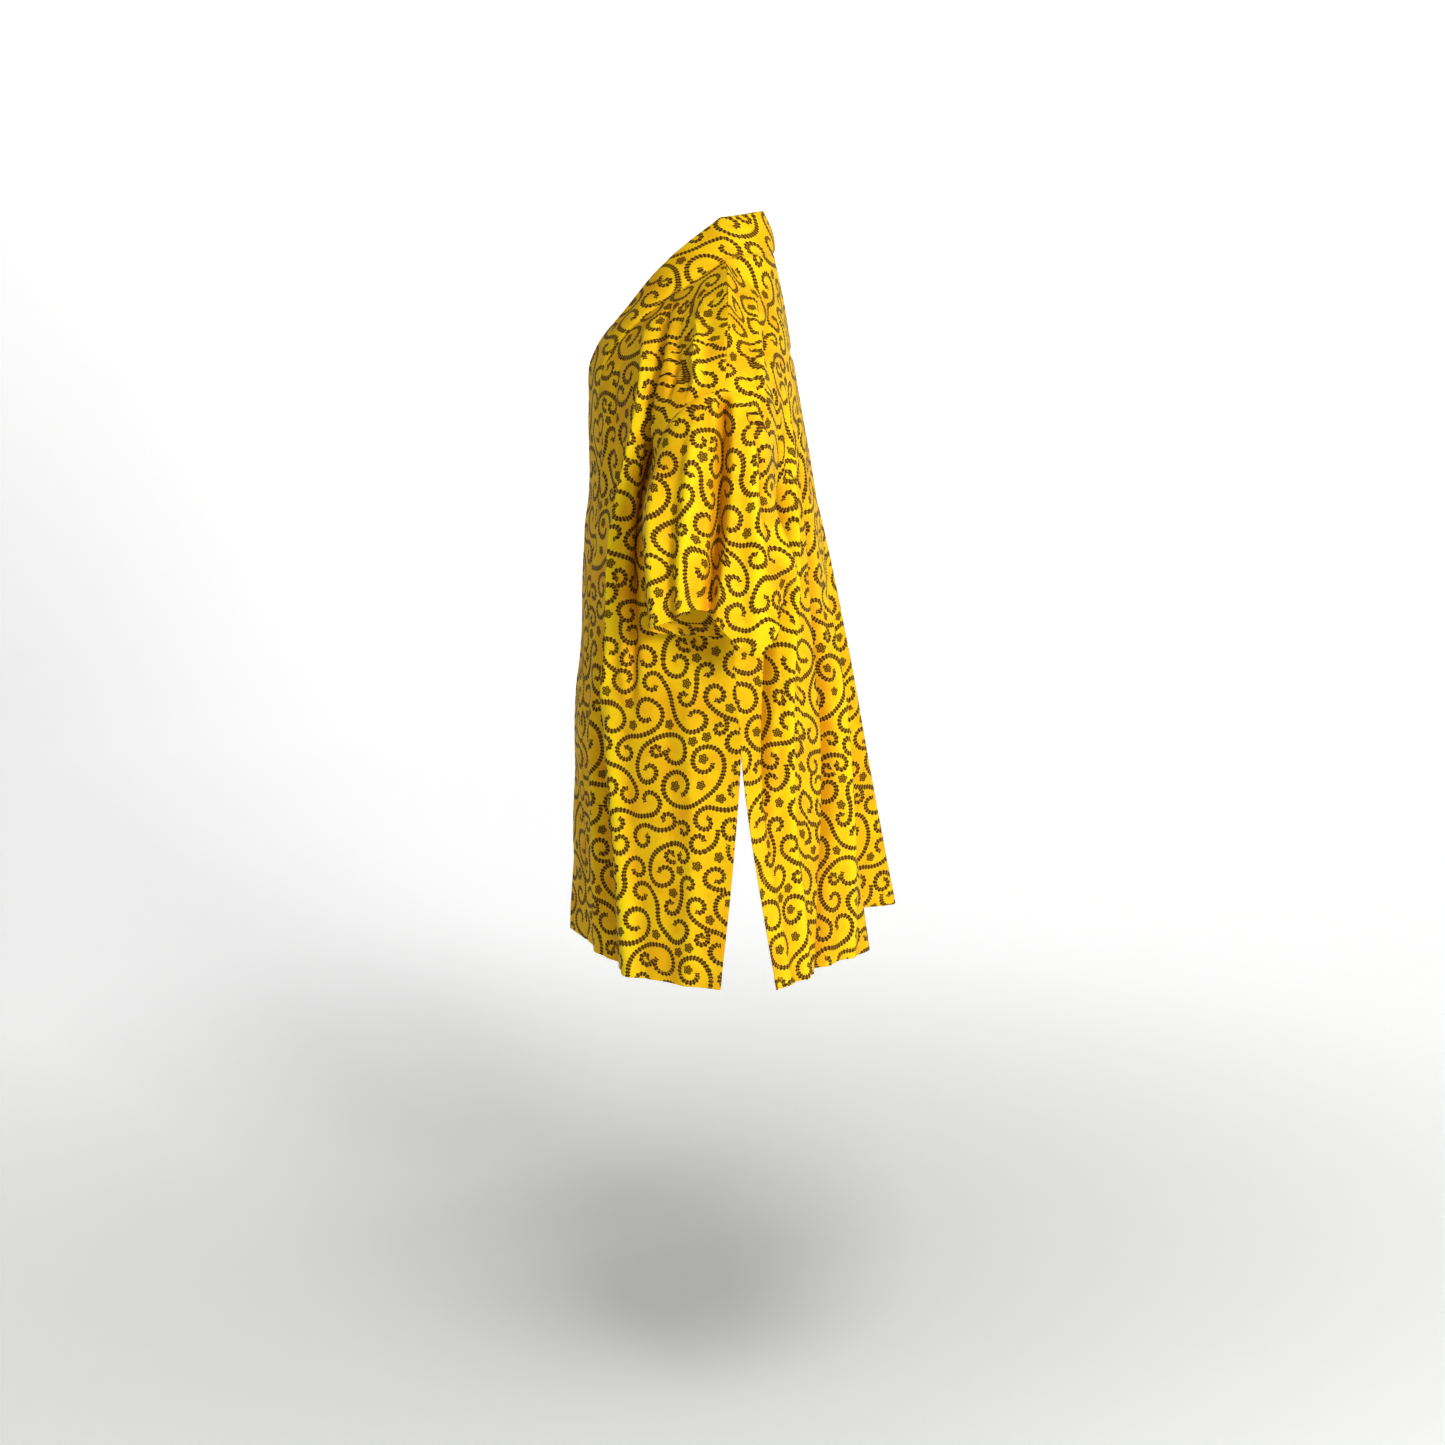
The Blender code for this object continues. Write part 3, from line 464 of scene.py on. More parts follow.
# ---- middle surfaces of the pieces ------------------------------------------
def front_surface(table, lift, side):
    """Rows from hem to shoulder, columns from the neckband's seam outward."""
    at, cols = ROWS, FRONT_COLS
    controls, where = [], []
    for row in table:
        v = place(row[0])
        edge = edge_line(np.array([v]), True)[0]
        u = np.array(FRONT_STATIONS)
        z = row[1] + (edge[2] - row[1]) * u**1.7
        xy = np.array([row[2:4], row[4:6], row[6:8], row[8:10], edge[:2]])
        controls.append(through(u, np.column_stack((xy, z)), cols))
        where.append(v)
    controls.append(shoulder_line(cols))
    where.append(TOP)
    grid = through(where, np.array(controls), at)
    grid[:, -1] = edge_line(at, True)
    low = np.clip((UNDERARM_Z - at) / (UNDERARM_Z - HEM_Z), 0, 1) ** 3
    grid[:, :, 2] += lift * np.outer(low, (1 - rise(cols * 1.6)))
    grid[:, :, 0] *= side
    return grid


def back_surface():
    """Rows from hem to shoulder, columns from the left edge to the right."""
    at, half = ROWS, BACK_HALF
    controls, where = [], []
    for row in BACK:
        v = place(row[0])
        edge = edge_line(np.array([v]), False)[0]
        u = np.array(BACK_STATIONS)
        z = row[1] + (edge[2] - row[1]) * (1 - u) ** 1.7
        xy = np.array([edge[:2], row[7:9], row[5:7], row[3:5], (0.0, row[2])])
        left = through(u, np.column_stack((xy, z)), half)
        right = left[-2::-1] * (-1, 1, 1)
        controls.append(np.vstack((left, right)))
        where.append(v)
    outer = half < 10 / 14 - 1e-7
    seam = shoulder_line(1 - half[outer] * 1.4)
    inner = neck_line(NECK_SHARES)
    top = np.vstack((seam, inner))
    controls.append(np.vstack((top, top[-2::-1] * (-1, 1, 1))))
    where.append(TOP)
    grid = through(where, np.array(controls), at)
    grid[:, 0] = edge_line(at, False)
    grid[:, -1] = edge_line(at, False) * (-1, 1, 1)
    for crest, top_z, depth, left, right in BACK_FOLDS:
        t = np.clip((top_z - at) / (top_z - HEM_Z), 0, 1)
        grow = depth * t**0.72
        line = crest * (0.72 + 0.28 * t)
        grid[:, :, 1] += grow[:, None] * bump(
            grid[:, :, 0] - line[:, None], left, right
        )
    x0, top_z, depth, width = BACK_HOLLOW
    grow = depth * rise((top_z - at) / (top_z - HEM_Z))
    grid[:, :, 1] -= grow[:, None] * bump(grid[:, :, 0] - x0, width, width)
    return grid


def sleeve_turns():
    """Places round the arm: 0 is outward, 90 degrees forward, 180 the underarm."""
    forward = math.pi * (1 - CLIMBS[::-1])
    backward = math.pi + math.pi * CLIMBS[1:-1]
    return np.concatenate((forward, backward))


def sleeve_surface(side):
    """Rows from the armhole to the hem, columns round the arm (closed)."""
    table = np.array(SLEEVE)
    along = SLEEVE_ROWS
    rings = through(table[:, 0], table[:, 1:], along)
    turn = sleeve_turns()
    grid = np.zeros((len(along), len(turn), 3))
    cx, cy, cz, half, tilt, front, back = rings.T[:, :, None]
    out = half * np.cos(turn)
    grid[:, :, 0] = cx + out * np.cos(np.radians(tilt))
    grid[:, :, 2] = cz + out * np.sin(np.radians(tilt))
    grid[:, :, 1] = cy - np.where(np.sin(turn) > 0, front, back) * np.sin(turn)
    forward = len(CLIMBS)
    grid[0, :forward] = armhole(CLIMBS[::-1], True)
    grid[0, forward:] = armhole(CLIMBS[1:-1], False)
    hem = np.array(SLEEVE_HEM)
    degrees = np.degrees(turn)
    degrees = np.where(degrees > 180, degrees - 360, degrees)
    drop = through(hem[:, 0], hem[:, 1], degrees) - grid[-1, :, 2]
    grid[:, :, 2] += np.outer(along**1.5, drop)
    grid[:, :, 0] *= side
    return grid


def band_surface(left, right):
    """Rows along the band, left hem to right hem; columns seam to fold."""
    at = ROWS
    lean = np.array(BAND_LEAN_LEFT)
    where = [place(level) for level in lean[:, 0]]
    down = through(where, lean[:, 1:], at)
    neck = np.array(BAND_LEAN_NECK)
    share = np.concatenate((NECK_SHARES, 1 - NECK_SHARES[-2::-1]))
    round_ = through(neck[:, 0], neck[:, 1:], 1 - np.abs(1 - 2 * share))
    round_[:, 0] *= np.where(share > 0.5, -1, 1)
    seam = np.vstack((left[:, 0], neck_line(share)[1:-1], right[::-1, 0]))
    lean = np.vstack((down, round_[1:-1], down[::-1] * (-1, 1, 1)))
    lean /= np.linalg.norm(lean, axis=1)[:, None]
    cols = BAND_COLS
    grid = seam[:, None] + BAND_WIDTH * cols[None, :, None] * lean[:, None]
    away = (TOP - at) / UPPER_SPAN
    near = 1 - rise(np.concatenate((away, np.zeros(len(share) - 2), away[::-1])) / 0.6)
    run = np.gradient(seam, axis=0)
    out = np.cross(run, lean)
    out /= np.linalg.norm(out, axis=1)[:, None]
    roll = BAND_ROLL * near[:, None] * np.sin(math.pi * cols**0.8)[None, :]
    return grid + roll[:, :, None] * out[:, None]


# ---- working on a piece's grid ----------------------------------------------
def unit(v):
    return v / np.maximum(np.linalg.norm(v, axis=-1, keepdims=True), 1e-12)


def facing(grid, closed, sign):
    """The way the cloth faces at each point of a grid, weighted by area."""
    if closed:
        wide = np.concatenate((grid[:, -1:], grid, grid[:, :1]), axis=1)
        across = (wide[:, 2:] - wide[:, :-2]) / 2
    else:
        across = np.gradient(grid, axis=1)
    along = np.gradient(grid, axis=0)
    return np.cross(across, along) * sign


def flat_sizes(grid, closed, middle):
    """Each point's place in the flat cloth: across from the middle column, and
    along from the first row. A closed grid has one more column, its first again."""
    if closed:
        grid = np.concatenate((grid, grid[:, :1]), axis=1)
    across = np.linalg.norm(np.diff(grid, axis=1), axis=2)
    across = np.concatenate((np.zeros((len(grid), 1)), np.cumsum(across, 1)), axis=1)
    across -= across[:, middle : middle + 1]
    along = np.linalg.norm(np.diff(grid, axis=0), axis=2)
    along = np.concatenate((np.zeros((1, grid.shape[1])), np.cumsum(along, 0)), axis=0)
    return across, along


def laid_flat(grid, first, step=6):
    """How far each point moves from its first place in the flat cloth, when the
    curved grid is laid out with as little stretch and shear as can be."""
    rows, cols = grid.shape[:2]
    ri = np.unique(np.linspace(0, rows - 1, max(5, rows // step)).round().astype(int))
    ci = np.unique(np.linspace(0, cols - 1, max(5, cols // step)).round().astype(int))
    a, b = len(ri), len(ci)
    points = grid[np.ix_(ri, ci)].reshape(-1, 3)
    start = np.stack([f[np.ix_(ri, ci)] for f in first], axis=-1).reshape(-1, 2)
    at = np.arange(a * b).reshape(a, b)
    p, q, r, s = (v.ravel() for v in (at[:-1, :-1], at[:-1, 1:], at[1:, 1:], at[1:, :-1]))
    tris = np.concatenate([np.stack(t, 1) for t in ((p, q, r), (p, r, s), (p, q, s), (q, r, s))])
    ab = points[tris[:, 1]] - points[tris[:, 0]]
    ac = points[tris[:, 2]] - points[tris[:, 0]]
    size = np.linalg.norm(ab, axis=1)
    high = np.linalg.norm(np.cross(ab, ac), axis=1) / size
    guess = start[tris]
    turned = np.cross(guess[:, 1] - guess[:, 0], guess[:, 2] - guess[:, 0])
    sign = 1.0 if np.median(turned) > 0 else -1.0
    flat = np.zeros((len(tris), 3, 2))
    flat[:, 1, 0] = size
    flat[:, 2, 0] = (ab * ac).sum(1) / size
    flat[:, 2, 1] = high * sign
    pairs, weights, edges = [], [], []
    for k in range(3):
        i, j = (k + 1) % 3, (k + 2) % 3
        u, v = flat[:, i] - flat[:, k], flat[:, j] - flat[:, k]
        weights.append((u * v).sum(1) / (size * high))
        pairs.append((tris[:, i], tris[:, j]))
        edges.append(flat[:, i] - flat[:, j])
    net = np.zeros((a * b, a * b))
    for (i, j), w in zip(pairs, weights):
        np.add.at(net, (i, i), w)
        np.add.at(net, (j, j), w)
        np.add.at(net, (i, j), -w)
        np.add.at(net, (j, i), -w)
    net[0, 0] += 1.0
    solve = np.linalg.inv(net)
    now = start.copy()
    for _ in range(24):
        c = np.zeros(len(tris))
        d = np.zeros(len(tris))
        for (i, j), w, e in zip(pairs, weights, edges):
            g = now[i] - now[j]
            c += w * (g * e).sum(1)
            d += w * (e[:, 0] * g[:, 1] - e[:, 1] * g[:, 0])
        angle = np.arctan2(d, c)
        cos, sin = np.cos(angle), np.sin(angle)
        pull = np.zeros_like(now)
        for (i, j), w, e in zip(pairs, weights, edges):
            way = np.stack((cos * e[:, 0] - sin * e[:, 1], sin * e[:, 0] + cos * e[:, 1]), 1) * w[:, None]
            np.add.at(pull, i, way)
            np.add.at(pull, j, -way)
        now = solve @ pull
    # keep the grain upright: turn and shift it back onto the lower half
    low = at[: a // 2].ravel()
    m, n = now[low].mean(0), start[low].mean(0)
    g, h = now[low] - m, start[low] - n
    angle = math.atan2((g[:, 0] * h[:, 1] - g[:, 1] * h[:, 0]).sum(), (g * h).sum())
    spin = np.array([[math.cos(angle), math.sin(angle)], [-math.sin(angle), math.cos(angle)]])
    now = (now - m) @ spin + n
    move = (now - start).reshape(a, b, 2)
    fine = through(ri, move, np.arange(rows))
    fine = through(ci, fine.transpose(1, 0, 2), np.arange(cols)).transpose(1, 0, 2)
    return fine[..., 0], fine[..., 1]


def lookup(values, knots_v, knots_u, v, u):
    """A grid's value between its rows and columns."""
    i = np.interp(v, knots_v, np.arange(len(knots_v)))
    j = np.interp(u, knots_u, np.arange(len(knots_u)))
    i0, j0 = int(min(i, len(knots_v) - 2)), int(min(j, len(knots_u) - 2))
    a, b = i - i0, j - j0
    return (
        values[i0, j0] * (1 - a) * (1 - b)
        + values[i0, j0 + 1] * (1 - a) * b
        + values[i0 + 1, j0] * a * (1 - b)
        + values[i0 + 1, j0 + 1] * a * b
    )


def folds_on(across, along, knots_v, knots_u, folds, round_=None):
    """How far each point moves out for a piece's folds. A fold follows its
    points in the flat cloth and has a half-width and a height at each (mm)."""
    move = np.zeros(across.shape)
    for fold in folds:
        points = np.array(
            [
                (
                    lookup(across, knots_v, knots_u, v, u),
                    lookup(along, knots_v, knots_u, v, u),
                    half / 1000,
                    height / 1000,
                )
                for u, v, half, height in fold
            ]
        )
        step = np.linalg.norm(np.diff(points[:, :2], axis=0), axis=1)
        knots = np.concatenate(([0], np.cumsum(step)))
        count = max(24, int(knots[-1] / 0.003))
        path = through(knots, points, np.linspace(0, knots[-1], count))
        reach = path[:, 2].max()
        low, high = path[:, :2].min(0) - reach, path[:, :2].max(0) + reach
        near = (along > low[1]) & (along < high[1])
        if round_ is None:
            near &= (across > low[0]) & (across < high[0])
        where = np.nonzero(near)
        if not len(where[0]):
            continue
        ax = across[where][:, None] - path[None, :, 0]
        if round_ is not None:
            size = round_[where[0]][:, None]
            ax = (ax + size / 2) % size - size / 2
        away = np.hypot(ax, along[where][:, None] - path[None, :, 1])
        best = away.argmin(1)
        t = np.clip(away[np.arange(len(best)), best] / path[best, 2], 0, 1)
        move[where] += path[best, 3] * (0.5 + 0.5 * np.cos(math.pi * t)) ** 1.15
    return move


def crinkle(across, along, seed, height, upright=3.0):
    """Slight, uneven waviness of the hanging cloth."""
    rng = np.random.default_rng(seed)
    out = np.zeros(across.shape)
    for size, share in ((0.150, 0.42), (0.085, 0.30), (0.048, 0.18), (0.027, 0.10)):
        for _ in range(5):
            way = rng.normal(0, 0.5)
            kx = math.cos(way) / size
            ky = math.sin(way) / size / upright
            phase = rng.uniform(0, 2 * math.pi, 2)
            drift = np.sin(2 * math.pi * along / (size * 5.5) + phase[1])
            out += (
                share
                / 5
                * np.sin(2 * math.pi * (across * kx + along * ky) + phase[0] + drift)
                * (0.65 + 0.35 * np.cos(2 * math.pi * along / (size * 7) + phase[1] * 2))
            )
    return out * height * 2.2


def turned_hem(grid, faces, rows, radius):
    """Adds the turned-up layer before the first row: from its raw edge inside
    the cloth, down to the hem's edge and round it."""
    away = unit(grid[0] - grid[1])
    inner = grid[:rows][::-1] - 2 * radius * faces[:rows][::-1]
    turn = []
    for angle in np.radians((135, 90, 45)):
        turn.append(
            grid[0]
            - faces[0] * radius
            + radius * (math.cos(angle) * faces[0] + math.sin(angle) * away)
        )
    return np.concatenate((inner, np.array(turn), grid))


def hem_rows(values, rows):
    """The same rows for values on a grid as turned_hem gives the grid."""
    return np.concatenate((values[:rows][::-1], np.repeat(values[:1], 3, axis=0), values))


def shell(name, grid, faces, thickness, closed, flat, stitch):
    """One closed sheet of cloth. flat is the place in the flat cloth of each
    point, and stitch is how far each is off its row of stitches, how far along
    it, and how high it stands on a fold (mm); from that height the material
    paints shade in the troughs and highlight on the crests."""
    rows, cols = grid.shape[:2]
    half = (np.ones((rows, cols)) * thickness / 2)[:, :, None]
    verts = np.concatenate(
        ((grid + faces * half).reshape(-1, 3), (grid - faces * half).reshape(-1, 3))
    )
    count = rows * cols
    last = cols if closed else cols - 1
    i, j = np.meshgrid(np.arange(rows - 1), np.arange(last), indexing="ij")
    i, j = i.ravel(), j.ravel()
    k = (j + 1) % cols

    def at(r, c):
        return r * cols + c

    def spot(r, c):
        return np.stack((flat[0][r, c], flat[1][r, c]), axis=-1)

    outer = np.stack((at(i, j), at(i, k), at(i + 1, k), at(i + 1, j)), 1)
    uv_outer = np.stack((spot(i, j), spot(i, j + 1), spot(i + 1, j + 1), spot(i + 1, j)), 1)
    polys, uvs = [outer], [uv_outer]
    polys.append(np.stack((at(i, j), at(i + 1, j), at(i + 1, k), at(i, k)), 1) + count)
    uvs.append(np.stack((spot(i, j), spot(i + 1, j), spot(i + 1, j + 1), spot(i, j + 1)), 1))
    jj = np.arange(last)
    kk = (jj + 1) % cols
    for r, flip in ((0, False), (rows - 1, True)):
        rr = np.full(last, r)
        ring = [at(rr, jj), at(rr, jj) + count, at(rr, kk) + count, at(rr, kk)]
        spots = [spot(rr, jj), spot(rr, jj), spot(rr, jj + 1), spot(rr, jj + 1)]
        if flip:
            ring, spots = ring[::-1], spots[::-1]
        polys.append(np.stack(ring, 1))
        uvs.append(np.stack(spots, 1))
    if not closed:
        ii = np.arange(rows - 1)
        for c, flip in ((0, True), (cols - 1, False)):
            cc = np.full(rows - 1, c)
            ring = [at(ii, cc), at(ii, cc) + count, at(ii + 1, cc) + count, at(ii + 1, cc)]
            spots = [spot(ii, cc), spot(ii, cc), spot(ii + 1, cc), spot(ii + 1, cc)]
            if flip:
                ring, spots = ring[::-1], spots[::-1]
            polys.append(np.stack(ring, 1))
            uvs.append(np.stack(spots, 1))
    polys = np.concatenate(polys)
    uvs = np.concatenate(uvs)
    mesh = bpy.data.meshes.new(name)
    mesh.from_pydata(verts.tolist(), [], polys.tolist())
    layer = mesh.uv_layers.new(name="ClothFlat")
    layer.uv.foreach_set("vector", uvs.reshape(-1).astype(np.float32))
    # the third value is the fold height, which the material uses to paint shade and highlight
    held = mesh.attributes.new("stitch_line_and_painted_fold_shade", "FLOAT_VECTOR", "POINT")
    values = np.zeros((count * 2, 3), np.float32)
    values[:count, 0] = values[count:, 0] = stitch[0].reshape(-1)
    values[:count, 1] = values[count:, 1] = stitch[1].reshape(-1)
    if len(stitch) > 2:
        # a trough on the outside is a crest on the inside, so painted shade outside is painted highlight inside
        values[:count, 2] = stitch[2].reshape(-1)
        values[count:, 2] = -stitch[2].reshape(-1)
    held.data.foreach_set("vector", values.reshape(-1))
    mesh.update()
    mesh.validate()
    # every face looks out of the cloth: the closed sheet's volume is above 0
    a, b, c, d = (verts[polys[:, m]] for m in range(4))
    room = (a * np.cross(b, c)).sum() + (a * np.cross(c, d)).sum()
    if room < 0:
        mesh.flip_normals()
    mesh.shade_smooth()
    mesh.set_sharp_from_angle(angle=math.radians(62))
    item = bpy.data.objects.new(name, mesh)
    bpy.context.scene.collection.objects.link(item)
    return item


def seam_facing(pieces):
    """The way the cloth faces at every edge point, shared across each seam."""
    total = {}

    def add(points, ways):
        for p, q in zip(points, ways):
            key = tuple(np.round(p, 6) + 0.0)
            total[key] = total.get(key, 0) + q

    for grid, closed, sign in pieces.values():
        n = unit(facing(grid, closed, sign))
        add(grid[0], n[0])
        if not closed:
            add(grid[-1], n[-1])
            add(grid[:, 0], n[:, 0])
            add(grid[:, -1], n[:, -1])
    for front in (True, False):
        points, ways = armhole(CLIMBS, front), armhole_normals(CLIMBS, front)
        for side in (1, -1):
            flip = np.array((side, 1, 1))
            for p, q in zip(points * flip, ways * flip):
                total[tuple(np.round(p, 6) + 0.0)] = q
    return total


def with_edges(faces, grid, total, closed):
    """Puts the shared ways on a grid's edges, and eases them in beside it."""
    out = faces.copy()

    def shared(points):
        return unit(np.array([total[tuple(np.round(p, 6) + 0.0)] for p in points]))

    def ease(axis, first):
        view = out if axis == 0 else out.transpose(1, 0, 2)
        base = grid if axis == 0 else grid.transpose(1, 0, 2)
        order = range(7) if first else range(-1, -8, -1)
        edge = shared(base[0 if first else -1])
        origin = base[0 if first else -1]
        for r in order:
            away = np.linalg.norm(base[r] - origin, axis=1)[:, None]
            w = 1 - rise(away / 0.007)
            view[r] = unit(view[r] * (1 - w) + edge * w)

    ease(0, True)
    if not closed:
        ease(0, False)
        ease(1, True)
        ease(1, False)
    return out


def pulled(grid, first_row=0.0, last_row=0.0, first_col=0.0, last_col=0.0):
    """Draws edges in along the cloth, so that pieces stop short of a seam."""
    out = grid.copy()
    if np.any(first_row):
        out[0] += unit(grid[1] - grid[0]) * first_row
    if np.any(last_row):
        out[-1] += unit(grid[-2] - grid[-1]) * last_row
    if np.any(first_col):
        out[:, 0] += unit(grid[:, 1] - grid[:, 0]) * np.reshape(first_col, (-1, 1))
    if np.any(last_col):
        out[:, -1] += unit(grid[:, -2] - grid[:, -1]) * np.reshape(last_col, (-1, 1))
    return out


def seam_dip(distance):
    """How deep the cloth dips at this distance from a seam."""
    return SEAM_DIP * (1 - rise(distance / SEAM_ROLL)) - 0.0004 * bump(
        distance - SEAM_ROLL * 1.25, SEAM_ROLL, SEAM_ROLL * 0.6
    )


def panel(name, grid, sign, total, sides, cols, folds, seed, flat_middle, origin):
    """A body panel. sides says of its first and last column: seam or vent."""
    faces = with_edges(unit(facing(grid, False, sign)), grid, total, False)
    across, along = flat_sizes(grid, False, flat_middle)
    from_first = across - across[:, :1]
    from_last = across[:, -1:] - across
    from_top = along[-1:] - along
    above = rise((ROWS - VENT_TOP_Z) / 0.035)[:, None]
    still = rise(from_top / 0.024)
    dip = seam_dip(from_top)
    pull = {"last_row": SEAM_PULL}
    for kind, away, edge in zip(sides, (from_first, from_last), ("first_col", "last_col")):
        held = above if kind == "vent" else np.ones_like(above)
        still = still * (1 - (1 - rise(away / 0.024)) * held)
        dip = np.maximum(dip, seam_dip(away) * held)
        pull[edge] = SEAM_PULL * held[:, 0]
    move = folds_on(across, along, ROWS, cols, folds)
    move += crinkle(across, along, seed, 0.0011)
    moved = grid + faces * (move * still - dip)[:, :, None]
    moved = pulled(moved, **pull)
    rows = int(np.searchsorted(ROWS, HEM_Z + HEM_TURN + 1e-6))
    turn = turned_hem(moved, unit(facing(moved, False, sign)), rows, HEM_RADIUS)
    extra = rows + 3
    ways = unit(facing(turn, False, sign))
    eased = with_edges(ways[extra:], grid, total, False)
    ways[-1] = eased[-1]
    up = extra + int(np.searchsorted(ROWS, VENT_TOP_Z))
    for kind, c in zip(sides, (0, -1)):
        begin = up if kind == "vent" else extra
        ways[begin:, c] = eased[begin - extra :, c]
    ways = unit(ways)
    flat = flat_sizes(turn, False, flat_middle)
    fold = flat[1][extra : extra + 1]
    off_hem = np.abs(flat[1] - fold) - HEM_STITCH
    off, by = off_hem, flat[0].copy()
    thick = np.full(turn.shape[:2], CLOTH)
    low = np.concatenate((np.zeros(extra), (ROWS < VENT_TOP_Z).astype(float)))
    low[:extra] = 1.0
    for kind, away in zip(
        sides, (flat[0] - flat[0][:, :1], flat[0][:, -1:] - flat[0])
    ):
        if kind != "vent":
            continue
        side_off = away - 0.0095
        near = (np.abs(side_off) < np.abs(off)) & (low[:, None] > 0)
        off = np.where(near, side_off, off)
        by = np.where(near, flat[1], by)
        fade = np.concatenate((np.ones(extra), 1 - rise((ROWS - VENT_TOP_Z) / 0.012)))
        thick = thick + 0.0007 * (1 - rise((away - 0.0095) / 0.0022)) * fade[:, None]
    eased = laid_flat(grid, flat_sizes(grid, False, flat_middle))
    eased = [np.concatenate((np.repeat(e[:1], extra, axis=0), e)) for e in eased]
    moved_flat = (flat[0] + eased[0] + origin[0], flat[1] + eased[1] - fold.mean() + origin[1])
    # the fold height, carried to the material to paint shade in troughs and highlight on crests
    fold_height_for_painted_shade = hem_rows(move * still * 1000, rows)
    return shell(name, turn, ways, thick, False, moved_flat, (off, by, fold_height_for_painted_shade))


def sleeve(name, grid, side, total, folds, seed, origin):
    sign = side
    faces = unit(facing(grid, True, sign))
    key = np.array([total[tuple(np.round(p, 6) + 0.0)] for p in grid[0]])
    first = np.linalg.norm(grid - grid[:1], axis=2)
    w = (1 - rise(first / 0.012))[:, :, None]
    faces = unit(faces * (1 - w) + unit(key)[None] * w)
    across, along = flat_sizes(grid, True, 0)
    around = across[:, -1].copy()
    across, along = across[:, :-1], along[:, :-1]
    turns = np.degrees(sleeve_turns()) / 360
    move = folds_on(across, along, SLEEVE_ROWS, turns, folds, around)
    # the waviness closes on itself round the arm
    angle = sleeve_turns()[None, :]
    rng = np.random.default_rng(seed)
    wave = np.zeros_like(across)
    for count, height in ((3, 0.0008), (5, 0.0008), (8, 0.0006), (13, 0.0004)):
        a, b, c = rng.uniform(0, 2 * math.pi, 3)
        wave += height * np.sin(count * angle + a + 1.3 * np.sin(along * 21 / count + b)) * (
            0.6 + 0.4 * np.sin(along * 30 + c)
        )
    still = rise(along / 0.016)
    moved = grid + faces * ((move + wave) * still - seam_dip(along))[:, :, None]
    moved[0] += ARMHOLE_GAP * armhole_way()[1] * (side, 1, 1)
    # the turned-up hem is added at the last row
    length = along[-1].mean()
    rows = int(np.sum(along[-1:].mean() - along.mean(1) < HEM_TURN + 1e-4))
    back = moved[::-1]
    ways = unit(facing(moved, True, sign))[::-1]
    turn = turned_hem(back, ways, rows, HEM_RADIUS)[::-1]
    extra = rows + 3
    ways = unit(facing(turn, True, sign))
    ways[0] = unit(key)
    wide = flat_sizes(turn, True, 0)
    fold = wide[1][-1 - extra]
    off = np.abs(wide[1] - fold) - HEM_STITCH
    # the flat cloth is cut open under the arm
    half = len(CLIMBS) - 1
    size = wide[0][:, -1:]
    middle = wide[0].copy()
    opened = np.concatenate((grid[:, half:], grid[:, : half + 1]), axis=1)
    eased = laid_flat(opened, flat_sizes(opened, False, grid.shape[1] - half))
    eased = [np.concatenate((e, np.repeat(e[-1:], extra, axis=0))) for e in eased]
    flat = (middle, wide[1])
    # the fold height, carried to the material to paint shade in troughs and highlight on crests
    fold_height_for_painted_shade = hem_rows((move * still * 1000)[::-1], rows)[::-1]
    stitch = (off[:, :-1], wide[0][:, :-1], fold_height_for_painted_shade)
    return turn, ways, flat, stitch, half, size, eased, origin


def sleeve_object(name, parts):
    """The sleeve's shell, with its flat cloth split at the underarm seam."""
    turn, ways, flat, stitch, half, size, eased, origin = parts
    # columns start again at the underarm, so that the seam of the print is there
    order = np.concatenate((np.arange(half, turn.shape[1]), np.arange(half)))
    across = flat[0][:, :-1][:, order]
    wrapped = np.where(np.arange(turn.shape[1])[None] < turn.shape[1] - half, across - size, across)
    end = flat[0][:, half : half + 1]
    across = np.concatenate((wrapped, end), axis=1)
    along = np.concatenate((flat[1][:, :-1][:, order], flat[1][:, half : half + 1]), axis=1)
    return shell(
        name,
        turn[:, order],
        ways[:, order],
        CLOTH,
        True,
        (across + eased[0] + origin[0], origin[1] - along - eased[1]),
        tuple(part[:, order] for part in stitch),
    )


def neckband(name, grid, sign, total, folds, seed, origin):
    """The band, folded along its outer edge: two layers that meet in a turn."""
    faces = unit(facing(grid, False, sign))
    key = unit(np.array([total[tuple(np.round(p, 6) + 0.0)] for p in grid[:, 0]]))
    across, along = flat_sizes(grid, False, 0)
    w = (1 - rise(across / 0.008))[:, :, None]
    faces = unit(faces * (1 - w) + key[:, None] * w)
    rows = np.arange(len(grid)) / (len(grid) - 1)
    move = folds_on(across, along, rows, BAND_COLS, folds)
    move += crinkle(across, along, seed, 0.0009, 0.5) * rise(across / 0.03)
    moved = grid + faces * (move * rise(across / 0.016) - seam_dip(across))[:, :, None]
    moved = pulled(moved, first_col=SEAM_PULL * 1.6)
    faces = unit(facing(moved, False, sign))
    faces[:, 0] = key
    ends = np.minimum(along, along[-1:] - along)
    apart = BAND_HALF * (
        0.42 + 0.58 * rise(across / 0.009) * rise(ends / 0.010)
    )
    fold = moved[:, -1]
    away = unit(moved[:, -1] - moved[:, -2])
    r = apart[:, -1:]
    turn = [
        fold + r * (math.cos(a) * faces[:, -1] + math.sin(a) * away)
        for a in np.radians((60, 90, 120))
    ]
    layers = np.concatenate(
        (
            moved + faces * apart[:, :, None],
            np.stack(turn, axis=1),
            (moved - faces * apart[:, :, None])[:, ::-1],
        ),
        axis=1,
    )
    ways = unit(facing(layers, False, sign))
    flat = flat_sizes(layers, False, 0)
    whole = flat[0][:, -1:]
    off = np.minimum(flat[0], whole - flat[0]) - 0.0032
    return shell(
        name,
        layers,
        ways,
        CLOTH,
        False,
        (flat[0] + origin[0], flat[1] + origin[1]),
        (off, flat[1]),
    )


